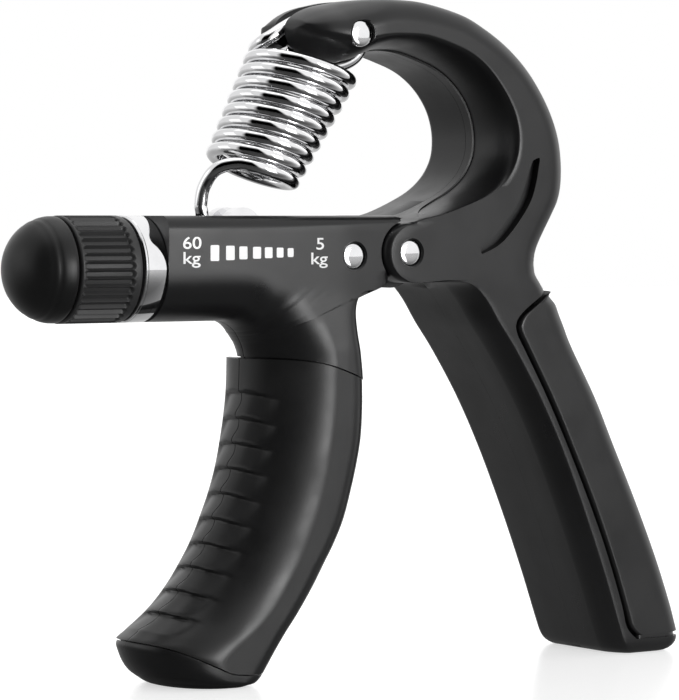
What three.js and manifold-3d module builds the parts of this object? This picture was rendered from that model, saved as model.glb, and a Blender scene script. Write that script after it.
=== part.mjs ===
// Adjustable hand grip strengthener: two hinged handles, a tension spring and a knob that sets its pull.
// Millimetres, +Z up, front towards -Y. The object stands on the ends of its two handles.
import * as THREE from "three";
import { mergeVertices } from "three/addons/utils/BufferGeometryUtils.js";
import Module from "manifold-3d";

// ---------- driving sizes ----------
const FRAME_DEPTH = 28; // thickness of the hooked frame, front to back
const ARM_DEPTH = 24.8; // thickness of the lever's arm and neck
const GRIP_DEPTH = 27; // thickness of the ribbed grip
const GRIP_CORE_DEPTH = 17.6; // hard core inside the grip
const CORE_EDGE = 3.4; // rounding of the core's long edges
const CLEARANCE = 0.3; // between pieces that seat on each other
const RUNNING_GAP = 0.45; // between pieces that turn past each other

const PIVOT = [5.5, 87.8]; // lever hinge, x and z
const ANCHOR = [-6.3, 132.9]; // pin in the frame's nose that holds the spring
const AXIS_Z = 84.75; // height of the knob and the lead screw

const FRAME_EDGE = 5; // rounding of the frame's outer edges
const FRAME_INNER_EDGE = 1.4; // flare of the frame's inner edges
const SOLE_EDGE = 1.8; // rounding where the handles stand
const ARM_EDGE = 3; // rounding of the arm's upper edges
const UNDERSIDE = [10, 11.6]; // soft rounding under the arm and down the neck: in x and z, and in depth
const GRIP_EDGE = 5.6; // rounding of the grip's palm side
const FINGER_SIDE = [12, 13]; // soft rounding of the grip's finger side, as above
const BORE_FLARE = [4.8, 11.4]; // flare of the bore on the printed side
const HANDLE_COVE = [3, 8.5]; // cove along the right handle's ridge on the printed side
const LOBE_RADIUS = 6.3; // round cheeks of the frame at the hinge
const TONGUE_RADIUS = 7.4; // round end of the lever between the cheeks
const TONGUE_DEPTH = 12;
const NOSE_LENGTH = 19.5; // length over which the nose narrows to its tip
const NOSE_TAPER_START = -1.2;
const NOSE_SLOT_END = 4.4;
const LOOP_SIDE_GAP = 0.65; // between the spring's loop and the nose's cheeks

const PIN_RADIUS = 2.15;
const PIN_RECESS = 0.8; // how far the pin ends lie below the faces
const PIN_DOME = 0.6;
const BUSH_WALL = 1.15;
const ANCHOR_BUSH_WALL = 0.8;

const KNOB_RADIUS = 10.8;
const ARM_LEFT = -51.5; // face of the arm that the collar ring meets
const RING_WIDTH = 5.3;
const RING_WALL = 1.3;
const KNOB_LENGTH = 12.9; // ribbed sleeve
const CAP_BULGE = 11;
const CAP_GROOVE = 0.6;
const CAP_PLUG = 2.6; // how far the cap's plug reaches into the sleeve
const KNOB_WALL = 2.1;
const KNOB_FLOOR = 5.6;
const RIB_COUNT = 40;
const RIB_DEPTH = 0.55;
const RIB_LENGTH = 9.5;
const RIB_START = 0.7; // plain rim before the ribs

const SCREW_RADIUS = 2.2;
const SCREW_HEAD = [4.4, 2.9]; // radius and thickness
const JOURNAL_RADIUS = 1.5;
const JOURNAL_LENGTH = 3.2;
const CLIP = [1.7, 3.2, 0.7]; // groove radius, outer radius and thickness of the retaining clip
const WASHER = [6.4, 0.8]; // radius and thickness of the thrust washer

const BEARING_PIN = [-7.7, 87.2];
const BEARING = { left: -13.2, right: -3.8, bottom: 80, top: 91 };
const CHANNEL_WIDTH = 12.6; // inside the arm, for the nut and the bearing
const SLOT_WIDTH = 9.6; // in the top of the arm
const SLOT_LEFT = -39.8;
const SLOT_RIGHT = -9;

const NUT_X = -29.8; // rest position, near the strongest setting
const NUT_LENGTH = 10.4;
const NUT_HALF_HEIGHT = 5.3;
const NUT_ROOF = 0.7; // wall above the screw
const EAR_RADIUS = 4.6;
const EAR_THICKNESS = 2.4;
const HOOK_PIN_RADIUS = 1.6;

const WIRE = 2.5; // spring wire diameter
const COIL_GAP = 0.57; // between the coil's turns, along the coil
const COIL_TURNS = 8; // from the first front arc to the last
const COIL_TOP = [-13.1, 125.7]; // centre of the first front arc
const COIL_LEAN = THREE.MathUtils.degToRad(29.65); // of the coil's travel from upright
const COIL_TOP_RADIUS = 10.6;
const COIL_BOTTOM_RADIUS = 8.9;
const COIL_TILT = THREE.MathUtils.degToRad(19);
const COIL_BEFORE = 0.625; // of a turn wound before the first front arc
const COIL_AFTER = 0.125; // of a turn wound after the last one
const HOOK_RADII = [7.3, 6.8]; // of the lower hook, in x and z
const HOOK_LEAD = [-4.2, 2.9, -1.1]; // from the coil's end to the first bend of the hook's limb
const HOOK_LIMB_RISE = 1.6; // straight part of the limb above the hook's centre
const COIL_CUP_TOP = [1.8, 3.6]; // roof of the nose's hollow over the coil, front and back
const STEPS_PER_TURN = 8;
const WIRE_SIDES = 5;

const PAD_CORE_DEPTH = 20;
const PAD_GROOVE = 0.4; // groove between the palm pad and the frame

const DENT_COUNT = 10;
const DENT_PITCH = 5.2;
const DENT_DEPTH = 1;
const DENT_RADIUS = 2.6;

// ---------- outlines, as points in x and z ----------
// top of the nose, round the hook and down to the waist
const HOOK_OUTER = [
  [-21.5, 124], [-21.3, 130], [-19.2, 133.8], [-15, 137.2], [-8, 139.4], [2, 140.4], [12, 139.9], [22, 137.3],
  [31, 132.4], [38.6, 125.6], [44, 117.6], [46.8, 109], [46.6, 101], [43.6, 94.2], [40.4, 88.6], [39.6, 84.6],
  [41, 81.4],
];
// outer side of the right handle, down to its heel
const HANDLE_OUTER = [[44, 80.4], [49, 69.2], [56, 57], [65.9, 37.2], [72.3, 23.2], [76.5, 12.8], [79.3, 4.6]];
// under the nose and round the bore, to the hinge
const BORE = [
  [-17, 127.6], [-11, 127], [-5.5, 127.6], [-1.6, 129.2], [3, 130], [9, 129.7], [15, 128.2], [23, 124.6],
  [28.8, 119.4], [31.4, 112.3], [29.8, 104.9], [25, 99.6], [16, 96.5], [9, 95.4],
];
// under the hinge and down the inner side of the right handle
const HANDLE_INNER = [
  [9.3, 81.4], [13.4, 81.5], [17.2, 80], [20.4, 76.8], [24.6, 72], [29.8, 66.2], [36, 56.2], [42, 44.8],
  [48.1, 31.2], [53.6, 17.6], [57.6, 6.8],
];
const PAD_INNER = [
  [39.6, 78.6], [35.2, 75.7], [33.2, 73.2], [33.7, 70.6], [36.4, 66.4], [42.7, 55.7], [50, 41.4], [57.4, 25.2],
  [62.4, 11.8], [64, 6], [66.6, 3.2],
];
const PAD_CORE = [[43, 72], [47.5, 64], [55, 50], [63, 33], [69.5, 18], [73, 7.5]];
const PAD_CORE_WIDTH = 6.4;
// inner line of the bore's flare, which fades out at the nose and at the hinge
const FLARE_LINE = [
  [0, 114], [-3, 123.8], [4, 127], [9.6, 127.9], [16.9, 126.6], [21.2, 124.5], [27, 121.2], [30.1, 118.2],
  [31.4, 112.9], [29.8, 106.1], [25.8, 102.6], [19.6, 100.2], [11.4, 99.6], [4, 104],
];
// inner line of the handle's cove, which fades out under the hinge
const COVE_LINE = [
  [8.5, 79.4], [13.4, 79.8], [17.4, 79.4], [20.8, 76.8], [24.9, 72], [29.8, 66.2], [36, 56.2], [42, 44.8],
  [48.1, 31.2], [53.6, 17.6], [57.6, 6.8],
];
const CRESCENT_OUTER = [[38.4, 107.6], [36.1, 98.6], [29.6, 90.8], [23.2, 87.9]];
const CRESCENT_INNER = [[36.4, 106], [33.4, 98.6], [27.8, 92], [23.2, 88.9]];
const CRESCENT_RECESS = 2.4;

// grip: the finger side, the far side, the sloping top edge of the cover and the edge above the foot
const GRIP_LEFT = [
  [-28.3, 60], [-28.9, 54.3], [-29.8, 49.2], [-30.9, 44.1], [-32.5, 39], [-34.6, 33.9], [-36.9, 28.9],
  [-39.8, 24.2], [-43.2, 19.6], [-47.4, 15.2], [-52.4, 11.4], [-57.6, 8],
];
const GRIP_RIGHT = [
  [-30.2, 0], [-24.3, 9], [-18.8, 15.7], [-13.9, 23.7], [-9.1, 32.2], [-6.4, 41.5], [-4.6, 50], [-4.2, 56],
];
const COVER_TOP = [[-30, 66.4], [-22, 66.2], [-15.5, 65.2], [-9.8, 63.4], [-2, 60.2]];
const FOOT_TOP = [[-57, 9.8], [-50.2, 8.2], [-41.7, 4.4], [-36.5, 2.6], [-24, 2]];
const CORE_LEFT = [[-23.6, 60], [-25, 48], [-28.2, 37], [-33, 27], [-38.6, 19]];
const CORE_RIGHT = [[-26.5, 12.5], [-19.4, 22], [-14, 32.5], [-10.6, 43], [-8.8, 56]];
const ARM_RIGHT = 5.1; // shoulder of the arm above the hinge
const ARM_CHIN = [1.9, 81.4]; // lower corner of the arm beside the hinge
const NECK_RIGHT = [[-2.2, 81.1], [-5, 79.4], [-6.3, 76], [-5.8, 70]];
const NECK_LEFT = [[-33.5, 0], [-29.8, -1.4], [-27.6, -4.4], [-26.9, -8]]; // z is below the arm

// ---------- dependent places ----------
const half = (depth) => depth / 2;
const ARM_TOP = AXIS_Z + KNOB_RADIUS - 0.05;
const ARM_BOTTOM = AXIS_Z - KNOB_RADIUS + 0.05;
const SPIGOT_RADIUS = KNOB_RADIUS - RING_WALL - CLEARANCE;
const SPIGOT_LEFT = ARM_LEFT - RING_WIDTH - 0.2;
const KNOB_RIGHT = SPIGOT_LEFT - CLEARANCE;
const KNOB_LEFT = KNOB_RIGHT - KNOB_LENGTH;
const CHANNEL_LEFT = ARM_LEFT + 1.3;
const CHANNEL_BOTTOM = AXIS_Z - NUT_HALF_HEIGHT - CLEARANCE;
const NUT_TOP = AXIS_Z + SCREW_RADIUS + CLEARANCE + NUT_ROOF;
const HOOK_BOTTOM = NUT_TOP + 0.4 + half(WIRE);
const HOOK_PIN_Z = HOOK_BOTTOM + half(WIRE) + 0.15 + HOOK_PIN_RADIUS;
const CHANNEL_TOP = NUT_TOP + 0.5;
const NUT_TRAVEL = BEARING.left - CLEARANCE - (NUT_X + half(NUT_LENGTH));
const SCREW_LEFT = KNOB_RIGHT - KNOB_FLOOR;
const REACH = 400; // longer than the object, for cutting tools

const wasm = await Module();
wasm.setup();

// ---------- tools ----------
function solid(geometry) {
  const bare = geometry.clone();
  bare.deleteAttribute("normal");
  bare.deleteAttribute("uv");
  const merged = mergeVertices(bare, 1e-5);
  return new wasm.Manifold(
    new wasm.Mesh({
      numProp: 3,
      vertProperties: new Float32Array(merged.attributes.position.array),
      triVerts: new Uint32Array(merged.index.array),
    }),
  );
}

function geometryOf(manifold) {
  const mesh = manifold.getMesh();
  const geometry = new THREE.BufferGeometry();
  geometry.setAttribute("position", new THREE.BufferAttribute(new Float32Array(mesh.vertProperties), 3));
  geometry.setIndex(new THREE.BufferAttribute(new Uint32Array(mesh.triVerts), 1));
  return geometry;
}

const vectors = (points) => points.map(([x, z]) => new THREE.Vector2(x, z));

// smooth line through a few points
function smooth(points, steps = 3) {
  return new THREE.SplineCurve(vectors(points)).getPoints(steps * (points.length - 1)).map((p) => [p.x, p.y]);
}

// a flat outline given thickness along Y, centred on y = 0, with its edges rounded over a given rise in depth
function plate(points, depth, { edge = 0, offset = 0, segments = 3, rise = Math.abs(edge) } = {}) {
  const rounded = edge !== 0 || offset !== 0;
  const geometry = new THREE.ExtrudeGeometry(new THREE.Shape(vectors(points)), {
    depth: depth - 2 * rise,
    bevelEnabled: rounded,
    bevelThickness: rise,
    bevelSize: edge,
    bevelOffset: offset - Math.max(edge, 0) + Math.max(-edge, 0),
    bevelSegments: edge === 0 ? 1 : segments,
  });
  geometry.translate(0, 0, rise - depth / 2);
  geometry.rotateX(Math.PI / 2);
  return solid(geometry);
}

// round bar along Y
function crossBar([x, z], radius, depth, sides = 28) {
  const geometry = new THREE.CylinderGeometry(radius, radius, depth, sides);
  geometry.translate(x, 0, z);
  return solid(geometry);
}

// turned piece along X on the knob's axis; profile pairs are x and radius
function turned(profile, sides = 48) {
  const geometry = new THREE.LatheGeometry(profile.map(([x, r]) => new THREE.Vector2(r, x)), sides);
  geometry.rotateZ(-Math.PI / 2);
  geometry.translate(0, 0, AXIS_Z);
  return solid(geometry);
}

const rod = (x0, x1, radius, sides) => turned([[x0, 0], [x0, radius], [x1, radius], [x1, 0]], sides);

function block(x0, x1, y0, y1, z0, z1) {
  const geometry = new THREE.BoxGeometry(x1 - x0, y1 - y0, z1 - z0);
  geometry.translate((x0 + x1) / 2, (y0 + y1) / 2, (z0 + z1) / 2);
  return solid(geometry);
}

const frontHalf = (body) => body.intersect(block(-REACH, REACH, -REACH, 0, -REACH, REACH));
const backHalf = (body) => body.intersect(block(-REACH, REACH, 0, REACH, -REACH, REACH));
const lower = (points, drop) => points.map(([x, z]) => [x, z - drop]);

// ---------- hooked frame with the right handle ----------
function frameOuter() {
  const outline = [[-21.5, 100], ...smooth(HOOK_OUTER), ...smooth(HANDLE_OUTER, 2), [88, -20], [0, -20]];
  const heel = [[-60, 160], [-60, 120], [20, 0], [73.4, 0], [77, 1], [80.4, 4.6], [90, 24], [90, 160]];
  return plate(outline, FRAME_DEPTH, { edge: FRAME_EDGE }).intersect(
    plate(heel, FRAME_DEPTH, { edge: SOLE_EDGE, segments: 2 }),
  );
}

function frameInnerCut() {
  const outline = [
    [-40, 130.4],
    [-21.6, 130],
    ...smooth(BORE),
    [PIVOT[0] + 0.1, 95.2],
    [PIVOT[0] + 0.1, 81.4],
    ...smooth(HANDLE_INNER),
    [60.2, 0],
    [100, 0],
    [100, -30],
    [-40, -30],
  ];
  return plate(outline, FRAME_DEPTH, { edge: -FRAME_INNER_EDGE, segments: 2 });
}

// hollows the printed side along an inner line, and widens towards the front face
function frontHollow(points, [width, rise]) {
  return frontHalf(plate(points, FRAME_DEPTH, { edge: -width, rise, segments: 4 }));
}

function boreFlare() {
  return frontHollow(smooth(FLARE_LINE, 2), BORE_FLARE);
}

function handleCove() {
  return frontHollow([...smooth(COVE_LINE, 2), [60.2, 0], [62, -30], [-40, -30], [-40, 60]], HANDLE_COVE);
}

// rounds the nose to a blunt tip in plan
function nosePlan() {
  const tip = new THREE.EllipseCurve(
    NOSE_TAPER_START, 0, NOSE_LENGTH, half(FRAME_DEPTH) + 0.01, Math.PI / 2, (3 * Math.PI) / 2,
  ).getPoints(18);
  const root = vectors([[100, -half(FRAME_DEPTH)], [100, half(FRAME_DEPTH)]]);
  const shape = new THREE.Shape([...tip, ...root]);
  return solid(new THREE.ExtrudeGeometry(shape, { depth: 200, bevelEnabled: false }).translate(0, 0, -20));
}

function padRegion(offset) {
  const outline = [...smooth(PAD_INNER), [90, 3.2], [90, 70], [47, 84]];
  return plate(outline, FRAME_DEPTH + 2, { offset });
}

// tongue of the frame under the palm pad
function padCore(grow) {
  const side = (sign) => PAD_CORE.map(([x, z], i) => {
    const [ax, az] = PAD_CORE[Math.max(i - 1, 0)];
    const [bx, bz] = PAD_CORE[Math.min(i + 1, PAD_CORE.length - 1)];
    const length = Math.hypot(bx - ax, bz - az);
    const away = sign < 0 ? PAD_CORE_WIDTH * 1.6 : PAD_CORE_WIDTH / 2;
    return [x - (sign * away * (bz - az)) / length, z + (sign * away * (bx - ax)) / length];
  });
  return plate([...side(1), ...side(-1).reverse()], PAD_CORE_DEPTH + 2 * grow, { offset: grow });
}

function crescents() {
  const outline = [...smooth(CRESCENT_OUTER, 4), ...smooth(CRESCENT_INNER, 4).reverse()];
  const through = plate(outline, FRAME_DEPTH + 2);
  const web = half(FRAME_DEPTH) - CRESCENT_RECESS;
  return through.subtract(block(-REACH, REACH, -web, web, -REACH, REACH));
}

// hollow under the nose where the coil's first turn lies, up to a given height over the first front arc
function coilCup(top) {
  const radius = COIL_TOP_RADIUS + WIRE / 2 + 2 * RUNNING_GAP;
  const geometry = new THREE.CylinderGeometry(radius, radius, 24, 40);
  geometry.translate(0, top - 12, 0);
  geometry.rotateX(Math.PI / 2);
  geometry.rotateY(COIL_TILT);
  geometry.translate(COIL_TOP[0], 0, COIL_TOP[1]);
  return solid(geometry);
}

function clevisCut() {
  const gap = TONGUE_DEPTH + 2 * CLEARANCE;
  const [x, z] = PIVOT;
  return crossBar(PIVOT, TONGUE_RADIUS + RUNNING_GAP, gap, 40).add(
    block(x - 12, x, -half(gap), half(gap), z - 9, z + TONGUE_RADIUS + RUNNING_GAP),
  );
}

function buildFrame() {
  const slot = WIRE + 2 * LOOP_SIDE_GAP;
  const pinHole = PIN_RADIUS + CLEARANCE;
  return frameOuter()
    .subtract(frameInnerCut())
    .subtract(boreFlare())
    .subtract(handleCove())
    .intersect(nosePlan())
    .add(crossBar(PIVOT, LOBE_RADIUS, FRAME_DEPTH, 40))
    .subtract(clevisCut())
    .subtract(block(-40, NOSE_SLOT_END, -half(slot), half(slot), 120, 150))
    .subtract(frontHalf(coilCup(COIL_CUP_TOP[0])))
    .subtract(backHalf(coilCup(COIL_CUP_TOP[1])))
    .subtract(crossBar(ANCHOR, pinHole, FRAME_DEPTH + 2))
    .subtract(crossBar(PIVOT, pinHole, FRAME_DEPTH + 2))
    .subtract(crescents())
    .subtract(padRegion(0).subtract(padCore(0)));
}

function buildPad() {
  return frameOuter().intersect(padRegion(-PAD_GROOVE)).subtract(padCore(CLEARANCE));
}

// ---------- lever: arm, neck and grip core ----------
function armBody() {
  const coverTop = smooth(COVER_TOP);
  const neckLeft = smooth(NECK_LEFT.map(([x, z]) => [x, z + ARM_BOTTOM]));
  const beyondEnd = ARM_LEFT - 2 * ARM_EDGE;
  const outline = [
    [beyondEnd, ARM_TOP],
    [beyondEnd, ARM_BOTTOM],
    ...neckLeft,
    [-26.9, 48],
    [-4.6, 48],
    [-4.6, 60],
    ...smooth(NECK_RIGHT).reverse(),
    ARM_CHIN,
    [ARM_CHIN[0], PIVOT[1] - 3],
    [ARM_RIGHT, PIVOT[1] + 2],
    [ARM_RIGHT, ARM_TOP],
  ];
  const aboveCover = [[-REACH, 66.4], ...coverTop, [REACH, 60.2], [REACH, REACH], [-REACH, REACH]];
  const underside = [[-REACH, ARM_BOTTOM], ...neckLeft, [-26.9, 0], [REACH, 0], [REACH, REACH], [-REACH, REACH]];
  const cheek = LOBE_RADIUS + RUNNING_GAP;
  return plate(outline, ARM_DEPTH, { edge: ARM_EDGE })
    .intersect(plate(underside, ARM_DEPTH, { edge: UNDERSIDE[0], rise: UNDERSIDE[1], segments: 6 }))
    .intersect(plate(aboveCover, REACH))
    .intersect(block(ARM_LEFT, REACH, -REACH, REACH, 0, REACH))
    .subtract(crossBar(PIVOT, cheek, ARM_DEPTH + 2, 40));
}

function tongue() {
  const [x, z] = PIVOT;
  const root = [
    [x, z + TONGUE_RADIUS],
    [x - 9, z + TONGUE_RADIUS],
    [x - 10, z - TONGUE_RADIUS + 0.6],
    [x, z - TONGUE_RADIUS],
  ];
  return crossBar(PIVOT, TONGUE_RADIUS, TONGUE_DEPTH, 40).add(plate(root, TONGUE_DEPTH));
}

function gripCore(grow) {
  const outline = [
    [-23.6, 76],
    ...smooth(CORE_LEFT, 2),
    [-42.6, 14],
    [-41, -4],
    [-33, -4],
    ...smooth(CORE_RIGHT, 2),
    [-8.8, 76],
  ];
  return plate(outline, GRIP_CORE_DEPTH + 2 * grow, { edge: CORE_EDGE, offset: grow, segments: 2 });
}

function footRegion(rise) {
  const edge = [[-REACH, 9.8 + rise], ...smooth(lower(FOOT_TOP, -rise)), [REACH, 2 + rise]];
  return plate([...edge, [REACH, -REACH], [-REACH, -REACH]], REACH);
}

function armHollow() {
  const wide = half(CHANNEL_WIDTH);
  const slot = half(SLOT_WIDTH);
  const bore = SCREW_RADIUS + CLEARANCE;
  const left = BEARING.left - CLEARANCE;
  const right = BEARING.right + CLEARANCE;
  return block(CHANNEL_LEFT, BEARING.left, -wide, wide, CHANNEL_BOTTOM, CHANNEL_TOP)
    .add(block(left, right, -wide, wide, BEARING.bottom - CLEARANCE, BEARING.top + CLEARANCE))
    .add(block(SLOT_LEFT, SLOT_RIGHT, -slot, slot, CHANNEL_TOP - 1, ARM_TOP + 5))
    .add(rod(SPIGOT_LEFT - 1, CHANNEL_LEFT + 1, bore, 24));
}

function buildLever() {
  const pinHole = PIN_RADIUS + CLEARANCE;
  const bushHole = pinHole + BUSH_WALL + CLEARANCE;
  const spigot = rod(SPIGOT_LEFT, ARM_LEFT + 2, SPIGOT_RADIUS);
  return armBody()
    .add(tongue())
    .add(gripCore(0).subtract(footRegion(CLEARANCE)))
    .add(spigot)
    .subtract(armHollow())
    .subtract(crossBar(BEARING_PIN, pinHole, ARM_DEPTH + 2))
    .subtract(crossBar(PIVOT, bushHole, ARM_DEPTH));
}

// ---------- grip covers and foot ----------
function gripBody() {
  const outline = [[-28.2, 74], ...smooth(GRIP_LEFT), [-70, 0], [-90, -18], [-44, -18], ...smooth(GRIP_RIGHT), [-4.2, 74]];
  const fingerSide = [[-28.2, 74], ...smooth(GRIP_LEFT), [-70, 0], [-90, -18], [REACH, -18], [REACH, 74]];
  const ends = [[-70, 100], [-59, 14], [-55.4, 9.4], [-54.2, 5.6], [-51.4, 2], [-48.4, 0], [-32, 0], [0, 0], [20, 60], [20, 100]];
  return plate(outline, GRIP_DEPTH, { edge: GRIP_EDGE })
    .intersect(plate(fingerSide, GRIP_DEPTH, { edge: FINGER_SIDE[0], rise: FINGER_SIDE[1], segments: 6 }))
    .intersect(plate(ends, GRIP_DEPTH, { edge: SOLE_EDGE, segments: 2 }));
}

// scalloped edge that presses the finger dents into the grip
function dents() {
  const side = new THREE.SplineCurve(vectors(GRIP_LEFT));
  const total = side.getLength();
  const start = 2.2;
  const points = [];
  for (let i = 0; i < DENT_COUNT; i += 1) {
    for (const share of [-1, -0.5, 0, 0.5, 1]) {
      const at = (start + i * DENT_PITCH + (share + 1) * DENT_RADIUS * 0.86) / total;
      const place = side.getPointAt(at);
      const along = side.getTangentAt(at);
      const depth = DENT_DEPTH * (1 - share * share) - 0.02;
      points.push([place.x - along.y * depth, place.y + along.x * depth]);
    }
  }
  const last = points[points.length - 1];
  return plate([...points, [last[0] - 12, last[1] - 4], [-60, 60], [-29.6, 62]], GRIP_DEPTH + 2);
}

function buildCovers() {
  const top = [[-REACH, 66.4 - CLEARANCE], ...smooth(lower(COVER_TOP, CLEARANCE)), [REACH, 60.2 - CLEARANCE], [REACH, -REACH], [-REACH, -REACH]];
  return gripBody()
    .intersect(plate(top, REACH))
    .subtract(footRegion(CLEARANCE))
    .subtract(gripCore(CLEARANCE))
    .subtract(dents());
}

function buildFoot() {
  return gripBody().intersect(footRegion(0));
}

// ---------- knob, screw and nut ----------
function ribCutter() {
  const outer = new THREE.Shape().absarc(0, 0, KNOB_RADIUS + 2, 0, Math.PI * 2);
  const hole = new THREE.Path();
  const pitch = (Math.PI * 2) / RIB_COUNT;
  const at = (angle, radius) => [Math.cos(angle) * radius, Math.sin(angle) * radius];
  for (let i = 0; i < RIB_COUNT; i += 1) {
    const angle = i * pitch;
    const corners = [[0, KNOB_RADIUS - RIB_DEPTH], [0.28, KNOB_RADIUS - RIB_DEPTH], [0.45, KNOB_RADIUS + 0.1], [0.83, KNOB_RADIUS + 0.1]];
    for (const [share, radius] of corners) {
      const [a, b] = at(angle + share * pitch, radius);
      if (i === 0 && share === 0) hole.moveTo(a, b);
      else hole.lineTo(a, b);
    }
  }
  hole.closePath();
  outer.holes.push(hole);
  const geometry = new THREE.ExtrudeGeometry(outer, { depth: RIB_LENGTH, bevelEnabled: false, curveSegments: 24 });
  geometry.rotateY(Math.PI / 2);
  geometry.translate(KNOB_LEFT + RIB_START, 0, AXIS_Z);
  return solid(geometry);
}

function buildKnob() {
  const cavity = KNOB_RADIUS - KNOB_WALL;
  const bore = SCREW_RADIUS + CLEARANCE;
  const chamfer = 0.4;
  const recess = WASHER[0] + CLEARANCE;
  const washerSeat = KNOB_RIGHT - WASHER[1];
  return turned([
    [KNOB_LEFT, cavity],
    [KNOB_LEFT, KNOB_RADIUS - chamfer],
    [KNOB_LEFT + chamfer, KNOB_RADIUS],
    [KNOB_RIGHT - chamfer, KNOB_RADIUS],
    [KNOB_RIGHT, KNOB_RADIUS - chamfer],
    [KNOB_RIGHT, recess],
    [washerSeat, recess],
    [washerSeat, bore],
    [SCREW_LEFT, bore],
    [SCREW_LEFT, cavity],
    [KNOB_LEFT, cavity],
  ], RIB_COUNT).subtract(ribCutter());
}

function buildCap() {
  const rim = KNOB_LEFT - CAP_GROOVE;
  const plug = KNOB_RADIUS - KNOB_WALL - CLEARANCE;
  const profile = [[KNOB_LEFT + CAP_PLUG, 0], [KNOB_LEFT + CAP_PLUG, plug], [rim, plug], [rim, KNOB_RADIUS - 0.3]];
  const steps = 10;
  for (let i = 0; i <= steps; i += 1) {
    const angle = (i / steps) * (Math.PI / 2);
    profile.push([rim - 0.3 - Math.sin(angle) * CAP_BULGE, i === steps ? 0 : Math.cos(angle) * KNOB_RADIUS]);
  }
  return turned(profile.reverse(), 40);
}

function buildScrew() {
  const end = BEARING.left + JOURNAL_LENGTH - CLEARANCE;
  const clipLeft = CHANNEL_LEFT + CLEARANCE;
  const groove = [clipLeft - 0.1, clipLeft + CLIP[2] + 0.1];
  const head = SCREW_LEFT - CLEARANCE;
  return turned([
    [head - SCREW_HEAD[1], 0],
    [head - SCREW_HEAD[1], SCREW_HEAD[0]],
    [head, SCREW_HEAD[0]],
    [head, SCREW_RADIUS],
    [groove[0], SCREW_RADIUS],
    [groove[0], CLIP[0]],
    [groove[1], CLIP[0]],
    [groove[1], SCREW_RADIUS],
    [BEARING.left - CLEARANCE, SCREW_RADIUS],
    [BEARING.left - CLEARANCE, JOURNAL_RADIUS],
    [end, JOURNAL_RADIUS],
    [end, 0],
  ], 24);
}

function ring(x0, x1, inner, outer, sides = 48) {
  return turned([[x0, inner], [x0, outer], [x1, outer], [x1, inner], [x0, inner]], sides);
}

function buildClip() {
  const left = CHANNEL_LEFT + CLEARANCE;
  return ring(left, left + CLIP[2], CLIP[0] + 0.2, CLIP[1], 24);
}

function buildNut() {
  const pin = [NUT_X, HOOK_PIN_Z];
  const left = NUT_X - half(NUT_LENGTH);
  const right = NUT_X + half(NUT_LENGTH);
  const side = half(CHANNEL_WIDTH) - CLEARANCE;
  const inner = half(WIRE) + LOOP_SIDE_GAP;
  const outer = inner + EAR_THICKNESS;
  const ears = crossBar(pin, EAR_RADIUS, 2 * outer)
    .add(block(NUT_X - EAR_RADIUS, NUT_X + EAR_RADIUS, -outer, outer, NUT_TOP - 2, HOOK_PIN_Z))
    .subtract(block(-REACH, REACH, -inner, inner, NUT_TOP, REACH))
    .subtract(crossBar(pin, HOOK_PIN_RADIUS + 0.15, 2 * outer + 2, 20));
  return block(left, right, -side, side, AXIS_Z - NUT_HALF_HEIGHT, NUT_TOP)
    .add(ears)
    .subtract(rod(left - 1, right + 1, SCREW_RADIUS + CLEARANCE, 24));
}

function buildBearing() {
  const side = half(CHANNEL_WIDTH) - CLEARANCE;
  const bore = JOURNAL_RADIUS + CLEARANCE;
  return block(BEARING.left, BEARING.right, -side, side, BEARING.bottom, BEARING.top)
    .subtract(rod(BEARING.left - 1, BEARING.left + JOURNAL_LENGTH, bore, 24))
    .subtract(crossBar(BEARING_PIN, PIN_RADIUS + CLEARANCE, ARM_DEPTH));
}

// ---------- pins and bushes ----------
function pinAt([x, z], depth, radius = PIN_RADIUS) {
  const straight = half(depth) - PIN_DOME;
  const profile = [
    [0, -half(depth)], [radius * 0.6, -half(depth) + 0.12], [radius * 0.92, -straight - 0.15], [radius, -straight + 0.1],
    [radius, straight - 0.1], [radius * 0.92, straight + 0.15], [radius * 0.6, half(depth) - 0.12], [0, half(depth)],
  ];
  return solid(new THREE.LatheGeometry(profile.map(([r, y]) => new THREE.Vector2(r, y)), 20).translate(x, 0, z));
}

function bushAt(place, wall, depth) {
  const inner = PIN_RADIUS + CLEARANCE;
  return crossBar(place, inner + wall, depth).subtract(crossBar(place, inner, depth + 2));
}

// ---------- tension spring ----------
// centre of the wire, with whole numbers of turns at the front of the coil
function coilPoint(turn) {
  const radius = THREE.MathUtils.lerp(COIL_TOP_RADIUS, COIL_BOTTOM_RADIUS, turn / COIL_TURNS);
  const angle = Math.PI * 2 * turn;
  const out = -Math.sin(angle) * radius;
  const travel = turn * (WIRE + COIL_GAP);
  return new THREE.Vector3(
    COIL_TOP[0] - travel * Math.sin(COIL_LEAN) + out * Math.cos(COIL_TILT),
    -Math.cos(angle) * radius,
    COIL_TOP[1] - travel * Math.cos(COIL_LEAN) - out * Math.sin(COIL_TILT),
  );
}

// upper loop, from the wire's cut end round the anchor pin and down to the coil
const UPPER_LOOP = [
  [-17.2, 0, 129.9], [-13.4, 0, 128], [-8.4, 0, 126.6], [-3.4, 0, 126.8], [0.8, 0, 128.8], [2.4, 0, 132.4],
  [0.4, 0, 136], [-3.2, 0, 137.6], [-7.2, 0, 137.9], [-12, 0, 136.7], [-16.4, 0, 134.7], [-19.9, -0.3, 132.7],
  [-21.9, 1.5, 131.1],
];

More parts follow.
